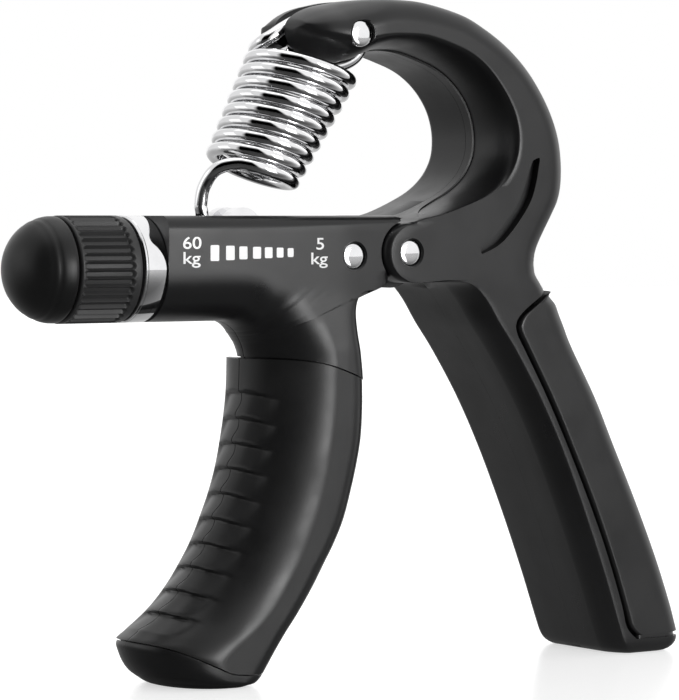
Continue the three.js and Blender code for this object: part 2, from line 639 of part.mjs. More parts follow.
// lower hook, from the last turn round the nut's pin to the other cut end
function lowerHook() {
  const [wide, high] = HOOK_RADII;
  const centre = [NUT_X, HOOK_BOTTOM + high];
  const coilEnd = coilPoint(COIL_TURNS + COIL_AFTER);
  const limb = [centre[0] - wide - 0.2, 0, centre[1] + HOOK_LIMB_RISE];
  const bend = [coilEnd.x + HOOK_LEAD[0], coilEnd.y + HOOK_LEAD[1], coilEnd.z + HOOK_LEAD[2]];
  const points = [bend, [limb[0] + 0.3, bend[1] / 4, (bend[2] + limb[2]) / 2], limb];
  for (let degrees = 180; degrees <= 350; degrees += 24) {
    const angle = THREE.MathUtils.degToRad(degrees);
    points.push([centre[0] + wide * Math.cos(angle), 0, centre[1] + high * Math.sin(angle)]);
  }
  return points;
}

function springPath() {
  const coil = [];
  const first = -Math.round(COIL_BEFORE * STEPS_PER_TURN);
  const last = Math.round((COIL_TURNS + COIL_AFTER) * STEPS_PER_TURN);
  for (let i = first; i <= last; i += 1) coil.push(coilPoint(i / STEPS_PER_TURN));
  const bend = (points) => points.map(([x, y, z]) => new THREE.Vector3(x, y, z));
  return [...bend(UPPER_LOOP), ...coil, ...bend(lowerHook())];
}

// least distance between far-apart stretches of the wire, less its thickness
function leastGap(path) {
  const samples = [];
  let travelled = 0;
  for (let i = 1; i < path.length; i += 1) {
    for (let part = 0; part < 6; part += 1) {
      const point = path[i - 1].clone().lerp(path[i], part / 6);
      samples.push({ point, at: travelled + (path[i - 1].distanceTo(path[i]) * part) / 6 });
    }
    travelled += path[i - 1].distanceTo(path[i]);
  }
  let least = Infinity;
  for (let i = 0; i < samples.length; i += 1) {
    for (let j = i + 1; j < samples.length; j += 1) {
      if (samples[j].at - samples[i].at < 5 * WIRE) continue;
      least = Math.min(least, samples[i].point.distanceTo(samples[j].point));
    }
  }
  return least - WIRE;
}

function buildSpring() {
  const path = springPath();
  const radius = WIRE / 2;
  const positions = [];
  const indices = [];
  const tangent = new THREE.Vector3();
  let side = new THREE.Vector3(0, 1, 0);
  path.forEach((point, i) => {
    tangent.subVectors(path[Math.min(i + 1, path.length - 1)], path[Math.max(i - 1, 0)]).normalize();
    side = side.clone().addScaledVector(tangent, -side.dot(tangent)).normalize();
    const across = new THREE.Vector3().crossVectors(tangent, side);
    for (let k = 0; k < WIRE_SIDES; k += 1) {
      const angle = (k / WIRE_SIDES) * Math.PI * 2;
      const spot = point.clone().addScaledVector(side, Math.cos(angle) * radius).addScaledVector(across, Math.sin(angle) * radius);
      positions.push(spot.x, spot.y, spot.z);
    }
  });
  for (let i = 0; i + 1 < path.length; i += 1) {
    for (let k = 0; k < WIRE_SIDES; k += 1) {
      const a = i * WIRE_SIDES + k;
      const b = i * WIRE_SIDES + ((k + 1) % WIRE_SIDES);
      indices.push(a, b, a + WIRE_SIDES, b, b + WIRE_SIDES, a + WIRE_SIDES);
    }
  }
  const last = (path.length - 1) * WIRE_SIDES;
  for (let k = 1; k + 1 < WIRE_SIDES; k += 1) {
    indices.push(0, k + 1, k, last, last + k, last + k + 1);
  }
  const geometry = new THREE.BufferGeometry();
  geometry.setAttribute("position", new THREE.Float32BufferAttribute(positions, 3));
  geometry.setIndex(indices);
  console.log(`spring: least gap to itself ${leastGap(path).toFixed(2)} mm`);
  return geometry;
}

// ---------- scene ----------
const FINISH = {
  plastic: { color: 0x2b2b2d, roughness: 0.5, metalness: 0 },
  rubber: { color: 0x262628, roughness: 0.65, metalness: 0 },
  knob: { color: 0x141415, roughness: 0.45, metalness: 0 },
  chrome: { color: 0xdcdcdc, roughness: 0.12, metalness: 1 },
  steel: { color: 0xb8b8b8, roughness: 0.3, metalness: 1 },
  brass: { color: 0xb79a5a, roughness: 0.35, metalness: 1 },
};

const grip = new THREE.Group();

function add(name, shape, finish) {
  const geometry = shape.isBufferGeometry ? shape : geometryOf(shape);
  const mesh = new THREE.Mesh(geometry, new THREE.MeshStandardMaterial(FINISH[finish]));
  mesh.name = name;
  grip.add(mesh);
}

const frame = buildFrame();
add("frame_front", frontHalf(frame), "plastic");
add("frame_back", backHalf(frame), "plastic");
add("palm_pad", buildPad(), "rubber");
add("anchor_pin", pinAt(ANCHOR, FRAME_DEPTH - 2 * PIN_RECESS - 1.2), "chrome");
add("pivot_pin", pinAt(PIVOT, FRAME_DEPTH - 2 * PIN_RECESS), "chrome");
add("anchor_bush", bushAt(ANCHOR, ANCHOR_BUSH_WALL, WIRE + 2 * LOOP_SIDE_GAP - 2 * CLEARANCE), "steel");

const lever = buildLever();
add("lever_front", frontHalf(lever), "plastic");
add("lever_back", backHalf(lever), "plastic");
const covers = buildCovers();
add("grip_front", frontHalf(covers), "rubber");
add("grip_back", backHalf(covers), "rubber");
add("grip_foot", buildFoot(), "plastic");
add("pivot_bush", bushAt(PIVOT, BUSH_WALL, TONGUE_DEPTH), "steel");
add("screw_bearing", buildBearing(), "plastic");
add("bearing_pin", pinAt(BEARING_PIN, ARM_DEPTH - 2 * PIN_RECESS), "chrome");
add("collar_ring", ring(ARM_LEFT - RING_WIDTH, ARM_LEFT - 0.1, KNOB_RADIUS - RING_WALL, KNOB_RADIUS), "chrome");

add("tension_knob", buildKnob(), "knob");
add("knob_cap", buildCap(), "knob");
add("lead_screw", buildScrew(), "steel");
add("screw_clip", buildClip(), "steel");
add("thrust_washer", ring(KNOB_RIGHT - WASHER[1] + 0.2, KNOB_RIGHT + 0.1, SCREW_RADIUS + CLEARANCE, WASHER[0], 32), "brass");
add("travel_nut", buildNut(), "chrome");
add("hook_pin", pinAt([NUT_X, HOOK_PIN_Z], WIRE + 2 * (LOOP_SIDE_GAP + EAR_THICKNESS), HOOK_PIN_RADIUS), "steel");
add("tension_spring", buildSpring(), "chrome");

// the origin lies midway between the knob's tip and the right heel
const box = new THREE.Box3().setFromObject(grip);
const shift = -(box.min.x + box.max.x) / 2;
grip.position.x = shift;
const placed = ([x, z]) => `x ${(x + shift).toFixed(3)}, z ${z.toFixed(3)}`;
console.log(`pivot ${placed(PIVOT)}; anchor ${placed(ANCHOR)}; hook pin ${placed([NUT_X, HOOK_PIN_Z])}`);
console.log(`nut travel ${NUT_TRAVEL.toFixed(3)}; box ${box.min.toArray()} to ${box.max.toArray()}`);

export default grip;
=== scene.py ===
"""Looks of an adjustable hand grip strengthener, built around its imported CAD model."""

import math

import bmesh
import bpy
from mathutils import Matrix, Vector


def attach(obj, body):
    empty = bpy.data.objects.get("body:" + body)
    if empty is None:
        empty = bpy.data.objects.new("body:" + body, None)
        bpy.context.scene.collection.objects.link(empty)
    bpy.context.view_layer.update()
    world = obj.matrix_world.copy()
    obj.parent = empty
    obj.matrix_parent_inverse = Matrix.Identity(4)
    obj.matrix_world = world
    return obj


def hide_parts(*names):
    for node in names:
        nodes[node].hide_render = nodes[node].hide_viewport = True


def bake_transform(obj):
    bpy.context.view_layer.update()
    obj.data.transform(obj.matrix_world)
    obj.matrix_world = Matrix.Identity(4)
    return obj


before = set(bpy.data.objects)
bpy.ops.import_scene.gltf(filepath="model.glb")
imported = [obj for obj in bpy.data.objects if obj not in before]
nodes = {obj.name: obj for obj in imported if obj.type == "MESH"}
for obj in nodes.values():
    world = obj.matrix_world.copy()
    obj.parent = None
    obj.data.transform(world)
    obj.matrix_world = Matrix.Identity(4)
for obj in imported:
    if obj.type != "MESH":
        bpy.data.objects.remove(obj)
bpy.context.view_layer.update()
scene = bpy.context.scene

MM = 0.001


# ---------- node materials ----------
# noise scales are in features per metre
TONE_DRIFT = 35
HANDLED_SPOTS = 90
WIPE_MARKS = 160
METAL_GRAIN = 900
DARKER = 0.8
LIGHTER = 1.25
WIPED = 0.88
HANDLED_SHINE = 0.875  # share of the roughness that is left where hands polish
UNTOUCHED_GAIN = 0.12  # roughness that untouched spots have on top
PLASTIC_BUMP = 0.35
METAL_BUMP = 0.2
FINEST_GRAIN = 0.000001
PLAIN = (1, 1, 1)
TURNED = (1, 8, 1)


def new_material(name):
    material = bpy.data.materials.new(name)
    material.use_nodes = True
    tree = material.node_tree
    shader = tree.nodes["Principled BSDF"]
    return material, tree, shader


def link(tree, source, target):
    tree.links.new(source, target)


def object_place(tree, scale=PLAIN):
    coordinates = tree.nodes.new("ShaderNodeTexCoord")
    mapping = tree.nodes.new("ShaderNodeMapping")
    mapping.inputs["Scale"].default_value = scale
    link(tree, coordinates.outputs["Object"], mapping.inputs["Vector"])
    return mapping.outputs["Vector"]


def maths(tree, operation, first, second):
    node = tree.nodes.new("ShaderNodeMath")
    node.operation = operation
    for value, socket in zip((first, second), node.inputs):
        if isinstance(value, (int, float)):
            socket.default_value = value
        else:
            link(tree, value, socket)
    return node.outputs[0]


def largest(tree, first, *others):
    for other in others:
        first = maths(tree, "MAXIMUM", first, other)
    return first


def noise(tree, place, scale, detail=3, roughness=0.5):
    texture = tree.nodes.new("ShaderNodeTexNoise")
    texture.inputs["Scale"].default_value = scale
    texture.inputs["Detail"].default_value = detail
    texture.inputs["Roughness"].default_value = roughness
    link(tree, place, texture.inputs["Vector"])
    return texture.outputs["Fac"]


def between(tree, value, low, high, out_low, out_high):
    node = tree.nodes.new("ShaderNodeMapRange")
    node.inputs["From Min"].default_value = low
    node.inputs["From Max"].default_value = high
    node.inputs["To Min"].default_value = out_low
    node.inputs["To Max"].default_value = out_high
    link(tree, value, node.inputs["Value"])
    return node.outputs["Result"]


def colours(tree, value, stops):
    ramp = tree.nodes.new("ShaderNodeValToRGB")
    elements = ramp.color_ramp.elements
    while len(elements) < len(stops):
        elements.new(0.5)
    for element, (position, colour) in zip(elements, stops):
        element.position = position
        element.color = (*colour, 1)
    link(tree, value, ramp.inputs["Fac"])
    return ramp.outputs["Color"]


def toned(colour, tone):
    return tuple(tone * part for part in colour)


def bump(tree, height, strength, distance):
    node = tree.nodes.new("ShaderNodeBump")
    node.inputs["Strength"].default_value = strength
    node.inputs["Distance"].default_value = distance
    link(tree, height, node.inputs["Height"])
    return node.outputs["Normal"]


def plastic(name, colour, rough, grain, grain_depth, shine=0.42):
    """Moulded plastic: fine spark-eroded grain, slow tone drift and spots polished by handling."""
    material, tree, shader = new_material(name)
    place = object_place(tree)
    drift = noise(tree, place, TONE_DRIFT)
    tones = colours(tree, drift, [(0.3, toned(colour, DARKER)), (0.7, toned(colour, LIGHTER))])
    link(tree, tones, shader.inputs["Base Color"])
    handled = noise(tree, place, HANDLED_SPOTS, detail=4, roughness=0.6)
    worn = between(tree, handled, 0.3, 0.75, HANDLED_SHINE * rough, rough + UNTOUCHED_GAIN)
    link(tree, worn, shader.inputs["Roughness"])
    fine = noise(tree, place, grain, detail=2, roughness=0.6)
    link(tree, bump(tree, fine, PLASTIC_BUMP, grain_depth), shader.inputs["Normal"])
    shader.inputs["Specular IOR Level"].default_value = shine
    return material


def metal(name, colour, rough, stretch=PLAIN, depth=4 * FINEST_GRAIN):
    """Polished or turned metal with faint wipe marks and small dull spots."""
    material, tree, shader = new_material(name)
    place = object_place(tree, stretch)
    wipe = noise(tree, place, WIPE_MARKS, detail=5, roughness=0.6)
    tones = colours(tree, wipe, [(0.25, toned(colour, WIPED)), (0.6, colour)])
    link(tree, tones, shader.inputs["Base Color"])
    link(tree, between(tree, wipe, 0.2, 0.8, rough, 2.2 * rough), shader.inputs["Roughness"])
    grain = noise(tree, place, METAL_GRAIN, detail=2)
    link(tree, bump(tree, grain, METAL_BUMP, depth), shader.inputs["Normal"])
    shader.inputs["Metallic"].default_value = 1
    return material


BODY = plastic("satin_body_plastic", (0.0085, 0.0085, 0.009), 0.3, 2600, 10 * FINEST_GRAIN)
COVER = plastic("soft_touch_cover", (0.0085, 0.0085, 0.0088), 0.33, 2200, 14 * FINEST_GRAIN)
KNOB = plastic("gloss_knob_plastic", (0.009, 0.009, 0.0092), 0.34, 1500, 6 * FINEST_GRAIN, shine=0.3)
SLEEVE = plastic("satin_sleeve_plastic", (0.026, 0.026, 0.0265), 0.4, 1800, 10 * FINEST_GRAIN)
PRINT = plastic("white_scale_ink", (0.93, 0.93, 0.93), 0.45, 3000, 3 * FINEST_GRAIN)
CHROME = metal("bright_chrome", (0.9, 0.9, 0.91), 0.035, depth=FINEST_GRAIN)
STEEL = metal("turned_steel", (0.55, 0.55, 0.56), 0.26, TURNED)
BRASS = metal("turned_brass", (0.66, 0.5, 0.25), 0.24, TURNED)


# ---------- shaping tools; sizes are in millimetres until a point is placed ----------
SHIFT = 1.25  # the drawing's origin is this far to the right of the frame's
FRONT = -1
BACK = 1
SIDES = {FRONT: "front", BACK: "back"}
RIGHTWARDS = Vector((1, 0, 0))
LEFTWARDS = Vector((-1, 0, 0))
BACKWARDS = Vector((0, 1, 0))
UPWARDS = Vector((0, 0, 1))
SHARP = 32  # edges that turn by more degrees than this stay sharp
THROUGH = 20  # far enough from the middle to cut right through a piece
OFF_MIDDLE = 0.02  # what is joined to a half keeps this far from the plane between the halves


def placed(x, y, z):
    return Vector((x + SHIFT, y, z)) * MM


def drawn_x(point):
    """The drawing's x of a placed point."""
    return point.x / MM - SHIFT


def way_along(value, start, end):
    """How far a value has come from start to end, as a share from 0 to 1."""
    return min(max((value - start) / (end - start), 0), 1)


def eased(share):
    """A share that starts and ends gently."""
    return share * share * (3 - 2 * share)


def smooth_rows(rows, steps):
    """Rows of numbers run smoothly into each other, with a few steps added between them."""
    rows = [Vector(row) for row in rows]
    last = len(rows) - 1
    line = []
    for i in range(last):
        before, here, there, after = rows[max(i - 1, 0)], rows[i], rows[i + 1], rows[min(i + 2, last)]
        for step in range(steps):
            t = step / steps
            bend = 2 * before - 5 * here + 4 * there - after
            turn = 3 * here - before - 3 * there + after
            line.append((2 * here + (there - before) * t + bend * t**2 + turn * t**3) / 2)
    line.append(rows[last])
    return line


def ends(row):
    """Inner and outer point of a row that starts with outer x, outer z, inner x, inner z."""
    return tuple(row[2:4]), tuple(row[0:2])


def object_of(name, data):
    made = bpy.data.objects.new(name, data)
    scene.collection.objects.link(made)
    return made


def mesh_of(name, shape):
    mesh = bpy.data.meshes.new(name)
    shape.to_mesh(mesh)
    shape.free()
    return mesh


def final_mesh(holder):
    """The plain mesh that an object's modifiers or curve give."""
    graph = bpy.context.evaluated_depsgraph_get()
    return bpy.data.meshes.new_from_object(holder.evaluated_get(graph))


def mesh_of_curve(name, curve):
    holder = object_of(name, curve)
    mesh = final_mesh(holder)
    bpy.data.objects.remove(holder)
    return mesh


def smooth_shade(mesh, sharp):
    mesh.shade_smooth()
    mesh.set_sharp_from_angle(angle=math.radians(sharp))


def new_piece(name, shape, material, sharp=SHARP):
    bmesh.ops.recalc_face_normals(shape, faces=shape.faces)
    mesh = mesh_of(name, shape)
    piece = object_of(name, mesh)
    mesh.materials.append(material)
    smooth_shade(mesh, sharp)
    return piece


def stands_for(piece, body, node_name):
    """Lets a piece ride on a body in place of a CAD node."""
    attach(piece, body)
    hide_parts(node_name)


def loft(sections):
    """Skins a row of closed sections; every section has as many points as the first."""
    shape = bmesh.new()
    ring = [shape.verts.new(point) for point in sections[0]]
    first = list(ring)
    loop = [shape.edges.new(pair) for pair in zip(ring, ring[1:] + ring[:1])]
    for section in sections[1:]:
        made = set(bmesh.ops.extrude_edge_only(shape, edges=loop)["geom"])
        ring = [next(e.other_vert(v) for e in v.link_edges if e.other_vert(v) in made) for v in ring]
        loop = [shape.edges.get(pair) for pair in zip(ring, ring[1:] + ring[:1])]
        for vert, point in zip(ring, section):
            vert.co = point
    shape.faces.new(first)
    shape.faces.new(ring)
    return shape


def slab(outline, y0, y1):
    """A flat outline in x and z, extruded from y0 to y1."""
    shape = bmesh.new()
    face = shape.faces.new([shape.verts.new(placed(x, y0, z)) for x, z in outline])
    grown = bmesh.ops.extrude_face_region(shape, geom=[face])["geom"]
    verts = [item for item in grown if isinstance(item, bmesh.types.BMVert)]
    bmesh.ops.translate(shape, verts=verts, vec=(0, (y1 - y0) * MM, 0))
    return shape


def block(left, right, low, high, half):
    """A block between two x and two z that reaches as far as half to either side of the middle."""
    return slab([(left, low), (right, low), (right, high), (left, high)], -half, half)


def bar_across(place, radius, y0, y1, end_radius=None):
    """A round bar or cone along y, through a place in x and z."""
    shape = bmesh.new()
    tip = radius if end_radius is None else end_radius
    bmesh.ops.create_cone(
        shape, cap_ends=True, segments=72, radius1=radius * MM, radius2=tip * MM, depth=(y1 - y0) * MM
    )
    bmesh.ops.rotate(shape, verts=shape.verts, matrix=Matrix.Rotation(math.radians(-90), 3, "X"))
    bmesh.ops.translate(shape, verts=shape.verts, vec=placed(place[0], (y0 + y1) / 2, place[1]))
    return shape


def bore(place, radius):
    return bar_across(place, radius, -THROUGH, THROUGH)


def turned(profile, axis_place, along, segments=96):
    """Spins a profile of (distance along, radius) about an axis through a place."""
    shape = bmesh.new()
    verts = [shape.verts.new(axis_place + along * (d * MM) + UPWARDS * (r * MM)) for d, r in profile]
    edges = [shape.edges.new(pair) for pair in zip(verts, verts[1:])]
    bmesh.ops.spin(
        shape,
        geom=verts + edges,
        cent=axis_place,
        axis=along,
        angle=math.tau,
        steps=segments,
        use_merge=True,
    )
    bmesh.ops.remove_doubles(shape, verts=shape.verts, dist=1e-7)
    return shape


def round_edges(shape, edges, radius, steps):
    bmesh.ops.bevel(
        shape,
        geom=edges,
        offset=radius * MM,
        offset_type="OFFSET",
        segments=steps,
        profile=0.5,
        affect="EDGES",
        material=-1,
    )


def halved(shape, side):
    """Keeps the front or the back half of a closed shape, and closes the cut."""
    whole = shape.verts[:] + shape.edges[:] + shape.faces[:]
    middle = (0, side * OFF_MIDDLE * MM, 0)
    bmesh.ops.bisect_plane(shape, geom=whole, plane_co=middle, plane_no=(0, side, 0), clear_inner=True)
    bmesh.ops.holes_fill(shape, edges=[edge for edge in shape.edges if edge.is_boundary])
    return shape


def cutter_of(shape):
    bmesh.ops.recalc_face_normals(shape, faces=shape.faces)
    return object_of("cutter", mesh_of("cutter", shape))


def carve(piece, shapes, operation="DIFFERENCE", sharp=SHARP):
    """Cuts shapes out of a piece, or joins them to it, and leaves it as plain mesh."""
    cutters = [cutter_of(shape) for shape in shapes]
    for cutter in cutters:
        modifier = piece.modifiers.new("cut", "BOOLEAN")
        modifier.operation = operation
        modifier.solver = "MANIFOLD"
        modifier.object = cutter
    whole = final_mesh(piece)
    piece.modifiers.clear()
    piece.data = whole
    smooth_shade(whole, sharp)
    for cutter in cutters:
        bpy.data.objects.remove(cutter)
    return piece


# ---------- sections of the handles ----------
FACE_STEPS = 9
LEAST_WIDTH = 0.6  # what is left of a section however far it is inset
LEAST_DEPTH = 0.4
INNER_SHARE = 0.74  # the most of the width that the inner rounding takes
BOTH_SHARE = 0.98  # the most that both roundings take together
DEPTH_SHARE = 0.97  # the most of the depth that a rounding takes
TONGUE_UNDER = 2.5  # how far under the face a pad's tongue lies


def shell_half(width, depth, inner, outer, inset=0, lip=0, wave=0, steps=10, full=1.0, seam=0.12):
    """One half of a handle's section, as (distance from the inner edge, distance from the middle).

    The roundings are (along the width, along the depth). The inner one is an ellipse where full is 1,
    and nearer to a straight slope above that. A lip is a step before it, a wave shifts the seam between
    the halves, and seam is the bevel there.
    """
    depth = max(depth - inset, LEAST_DEPTH)
    width = max(width, 2 * inset + LEAST_WIDTH)
    low = inset
    high = width - inset
    room = high - low
    deepest = DEPTH_SHARE * depth - seam
    in_s = min(inner[0], INNER_SHARE * room)
    in_y = min(inner[1], deepest)
    out_s = min(outer[0], BOTH_SHARE * room - in_s)
    out_y = min(outer[1], deepest)
    start = depth - in_y
    quarter = [math.pi / 2 * k / steps for k in range(steps + 1)]
    wall = [(low + seam, wave), (low, wave + seam), (low, (wave + start + seam) / 2)]
    groove = [(low, start - lip / 2), (low + lip, start - lip / 4), (low + lip, start)]
    flare = []
    for angle in quarter[1:]:
        back = max(math.cos(angle), 0) ** full
        rise = math.sin(angle) ** full
        flare.append((low + in_s * (1 - back) + lip * back, start + in_y * rise))
    flat = room - in_s - out_s
    face = [(low + in_s + flat * k / FACE_STEPS, depth) for k in range(1, FACE_STEPS)]
    edge = [(high - out_s * (1 - math.sin(a)), depth - out_y * (1 - math.cos(a))) for a in quarter]
    return [*wall, *groove, *flare, *face, *edge, (high, seam), (high - seam, 0)]


def across(inner, outer, side, half):
    """Stands a half section up on the line from its inner point to its outer point."""
    way = (Vector(outer) - Vector(inner)).normalized()
    return [placed(inner[0] + way.x * s, side * y, inner[1] + way.y * s) for s, y in half]


def full_section(inner, outer, depth, inner_round, outer_round, inset=0, tongue=0):
    """A whole closed section, front and back alike, without a seam; a tongue closes the gap inside it."""
    half = shell_half(math.dist(inner, outer), depth, inner_round, outer_round, inset)[2:-2]
    if tongue:
        half = [(-tongue, depth - TONGUE_UNDER), (0, depth - TONGUE_UNDER), *half[1:]]
    return across(inner, outer, FRONT, half) + across(inner, outer, BACK, half)[::-1]


# ---------- sizes shared by several sub-parts; a place is (x, z) ----------
PIVOT = (5.5, 87.8)
ANCHOR = (-6.3, 132.9)
BEARING_PIN = (-7.7, 87.2)
AXIS_Z = 84.75
FRAME_HALF = 14.0
ARM_HALF = 12.4
GRIP_HALF = 13.5
PIN_HOLE = 2.8
PIN_RADIUS = 2.7
TONGUE_RADIUS = 7.4
TONGUE_TOP = 95.2
TONGUE_HALF = 6.0
TONGUE_GAP = 0.45
SLOT_HALF = 6.3  # half the width of the slots for the tongue and for the screw
COIL_TOP = (-13.1, 125.7)
COIL_TILT = math.radians(19)
MOUTH_RADIUS = PIN_HOLE + 0.4
MOUTH_DEPTH = 0.4
MOUTH_PAST_FACE = 0.2


def hole_mouth(place, face_y, side):
    """A cone that widens the mouth of a pin's hole, from inside the face to a little past it."""
    inner = face_y - side * MOUTH_DEPTH
    outer = face_y + side * MOUTH_PAST_FACE
    if side == FRONT:
        return bar_across(place, MOUTH_RADIUS, outer, inner, end_radius=PIN_HOLE)
    return bar_across(place, PIN_HOLE, inner, outer, end_radius=MOUTH_RADIUS)


# ---------- frame: nose, hook, cheek and palm handle ----------
# Each row crosses the moulding, from the nose's tip to the end of the palm handle: outer x, outer z,
# inner x, inner z, flare of the inner side and its depth, rounding of the outer side and its depth,
# half thickness, inset at the ends, lip along the inner side
NOSE_ROWS = [
    (-18.1, 134.4, -18.1, 133.3, 2.5, 5, 2.5, 5, 6.2, 0, 0),
    (-17.9, 135.2, -17.8, 132, 3, 6, 3, 6, 7.4, 0, 0),
    (-17.1, 136.2, -16.9, 130.5, 4, 7, 4, 7, 8.8, 0, 0),
    (-15.3, 137.4, -15.3, 129.2, 4.5, 8, 5, 8.6, 10.4, 0, 0),
    (-12.6, 138.5, -12.6, 128.2, 5, 9, 6, 9.6, 11.9, 0, 0),
    (-9, 139.3, -9, 127.6, 5, 9.4, 6.5, 10, 13.1, 0, 0),
    (-5, 140, -5, 127.7, 4.6, 9.6, 6, 8.6, 13.8, 0, 0),
    (-1, 140.3, -1, 129.3, 3.6, 10, 5.4, 6.4, 14, 0, 0),
]
HOOK_ROWS = [
    (3.4, 140.4, 3.2, 130, 3.2, 11, 5, 5.4, 14, 0, 0.2),
    (11, 140, 9, 129.7, 3.4, 11.4, 5, 5, 14, 0, 0.4),
    (20.5, 137.9, 15, 128, 3.7, 11.4, 5, 5, 14, 0, 0.45),
    (26.5, 135.2, 19.2, 126.4, 3.8, 11.4, 5, 5, 14, 0, 0.45),
    (32.5, 131.4, 22.6, 124.3, 3.7, 11.4, 5, 5, 14, 0, 0.45),
    (37.6, 126.8, 25.4, 121.7, 3.6, 11.4, 5, 5, 14, 0, 0.45),
    (41.6, 121.6, 27.6, 118.6, 3.8, 11.4, 5, 5, 14, 0, 0.45),
    (44.4, 116.6, 28.9, 115.3, 4.1, 11.4, 5, 5, 14, 0, 0.45),
    (46.2, 111.6, 29.4, 111.8, 4.2, 11.4, 5, 5, 14, 0, 0.45),
    (46.9, 106.6, 29, 108.3, 4.1, 11.4, 5, 5, 14, 0, 0.45),
    (46.8, 102, 27.5, 105.2, 4, 11.4, 5, 5, 14, 0, 0.45),
    (46, 98.6, 25.3, 102.7, 3.8, 11.4, 5, 5, 14, 0, 0.45),
    (44.4, 95.6, 22.3, 100.5, 3.2, 11.4, 5, 5, 14, 0, 0.45),
    (42.6, 92.6, 18.7, 98.7, 2.4, 11.2, 5, 5, 14, 0, 0.4),
    (41.2, 90.2, 15, 97.1, 1.7, 10, 5, 5, 14, 0, 0.35),
    (40.4, 88.6, 12, 96, 1.3, 7, 5, 5, 14, 0, 0.15),
    (39.9, 87.2, 9, 95.2, 0.9, 2.4, 5, 5, 14, 0, 0),
    (39.8, 86.6, 6.9, 94.4, 0.4, 0.6, 5, 5, 14, 0, 0),
]
# outer and inner points only; the inner ones go round the hinge pin, 6.3 from its axis
CHEEK_ENDS = [
    (39.7, 86.1, 5.5, 94.1),
    (39.7, 85.8, 3.35, 93.72),
    (39.65, 85.5, 1.45, 92.63),
    (39.65, 85.2, 0, 90.95),
    (39.65, 84.9, -0.7, 88.9),
    (39.7, 84.6, -0.7, 86.7),
    (39.75, 84.3, 0, 84.65),
    (39.8, 83.9, 1.45, 82.97),
    (39.9, 83.4, 3.35, 81.88),
]
CHEEK_SHAPE = (1.4, 1.5, 5, 5, FRAME_HALF, 0, 0)  # the columns that all rows of the cheek share
PALM_ROWS = [
    (40.1, 82.9, 5.9, 81.5, 0.3, 0.8, 5, 5, 14, 0, 0),
    (40.5, 82.2, 9.3, 81.7, 0.9, 3, 5, 5, 14, 0, 0),
    (41.2, 81.2, 13.8, 82, 2.0, 6, 5, 5, 14, 0, 0),
    (42.4, 79.4, 18, 81.2, 3.2, 6.6, 5, 5, 14, 0, 0),
    (44.2, 76.4, 21.4, 77.8, 3.8, 6.6, 5, 5, 14, 0, 0),
    (46.4, 72.4, 24.9, 72.6, 3.8, 6.4, 5, 5, 14, 0, 0),
    (49.2, 67.2, 29.6, 66.2, 3.7, 6.2, 5, 5, 14, 0, 0),
    (54.4, 57.2, 36, 56.2, 3.6, 6, 5, 5, 14, 0, 0),
    (59.8, 46.4, 42, 44.8, 3.6, 6, 5, 5, 14, 0, 0),
    (66.2, 33.2, 48.1, 31.2, 3.5, 6, 5, 5, 14, 0, 0),
    (72, 20.4, 53.6, 17.6, 3.4, 6, 5, 5, 14, 0, 0),
    (77.4, 8, 57.6, 6.8, 3.3, 6, 5, 5, 14, 0, 0),
    (79, 4.2, 59, 3.2, 3.2, 6, 4.6, 5, 14, 0, 0),
    (79.1, 2.2, 59.7, 1.5, 3.2, 6, 4, 4.4, 14, 0.25, 0),
    (78.6, 0.9, 60.1, 0.6, 3.1, 5.8, 3.6, 4, 14, 0.8, 0),
    (78, 0.25, 60.3, 0.15, 3, 5.6, 3.4, 4, 14, 1.4, 0),
    (77.6, 0, 60.4, 0, 3, 5.4, 3.4, 4, 14, 2, 0),
]
PAD_EDGE = [
    (39.6, 78.6), (35.2, 75.7), (32.8, 73.2), (32.8, 70.6), (35.2, 66.4), (41.4, 55.7),
    (48.7, 41.4), (56.1, 25.2), (61.1, 11.8), (62.8, 6), (65.6, 3.2),
]
PAD_BEYOND = [(90, 3.2), (90, 70), (47, 84)]  # outside the handle, where the pad's pocket is open
CRESCENT_OUTER = [(38.1, 107.7), (38.7, 106.9), (36.4, 98.6), (29.8, 90.6), (24.2, 87.6), (23.3, 87.9)]
CRESCENT_INNER = [(37, 107.2), (36.4, 106), (33.2, 98.6), (27.8, 92.2), (23.9, 89.7), (23, 88.8)]
CRESCENT_DEPTH = 2
PLAIN_FLARE = 2.2  # the back's bore has no more flare than this
NOSE_HALF = 13.7  # rows that are no thicker than this belong to the nose
NOSE_FACE = 13.4  # the nose's face at its pin
BORE_BOTTOM = 95
FRONT_FULL = 1.3
SEAM_OF_HOOK = 0.05
SEAM_BELOW = 0.015
TONGUE_SLOT = (-8, PIVOT[0], 78, TONGUE_TOP + TONGUE_GAP)  # left, right, bottom and top
LOOP_SLOT = (-40, 4.4, 120, 150)
LOOP_SLOT_HALF = 1.9
CUP_RADIUS = 12.9
CUP_LENGTH = 24
CUP_FLOOR = {FRONT: 1.8, BACK: 3.6}  # above the coil's top


def frame_sections(side):
    """Sections of the front half, or of the back half, whose bore is plainer."""
    sections = []
    cheek_rows = [(*row, *CHEEK_SHAPE) for row in CHEEK_ENDS]
    for row in smooth_rows([*NOSE_ROWS, *HOOK_ROWS, *cheek_rows, *PALM_ROWS], 6):
        inner, outer = ends(row)
        flare, flare_depth, rounding, rounding_depth, depth, inset, lip = row[4:]
        full = FRONT_FULL
        if side == BACK:
            full = 1
            lip = 0
            flare = min(flare, PLAIN_FLARE)
            if depth > NOSE_HALF:
                flare_depth = min(flare_depth, PLAIN_FLARE)
        half = shell_half(
            math.dist(inner, outer),
            min(depth, FRAME_HALF),
            (flare, flare_depth),
            (rounding, rounding_depth),
            inset,
            lip,
            steps=14,
            full=full,
            seam=SEAM_OF_HOOK if inner[1] > BORE_BOTTOM else SEAM_BELOW,
        )
        sections.append(across(inner, outer, side, half))
    return sections


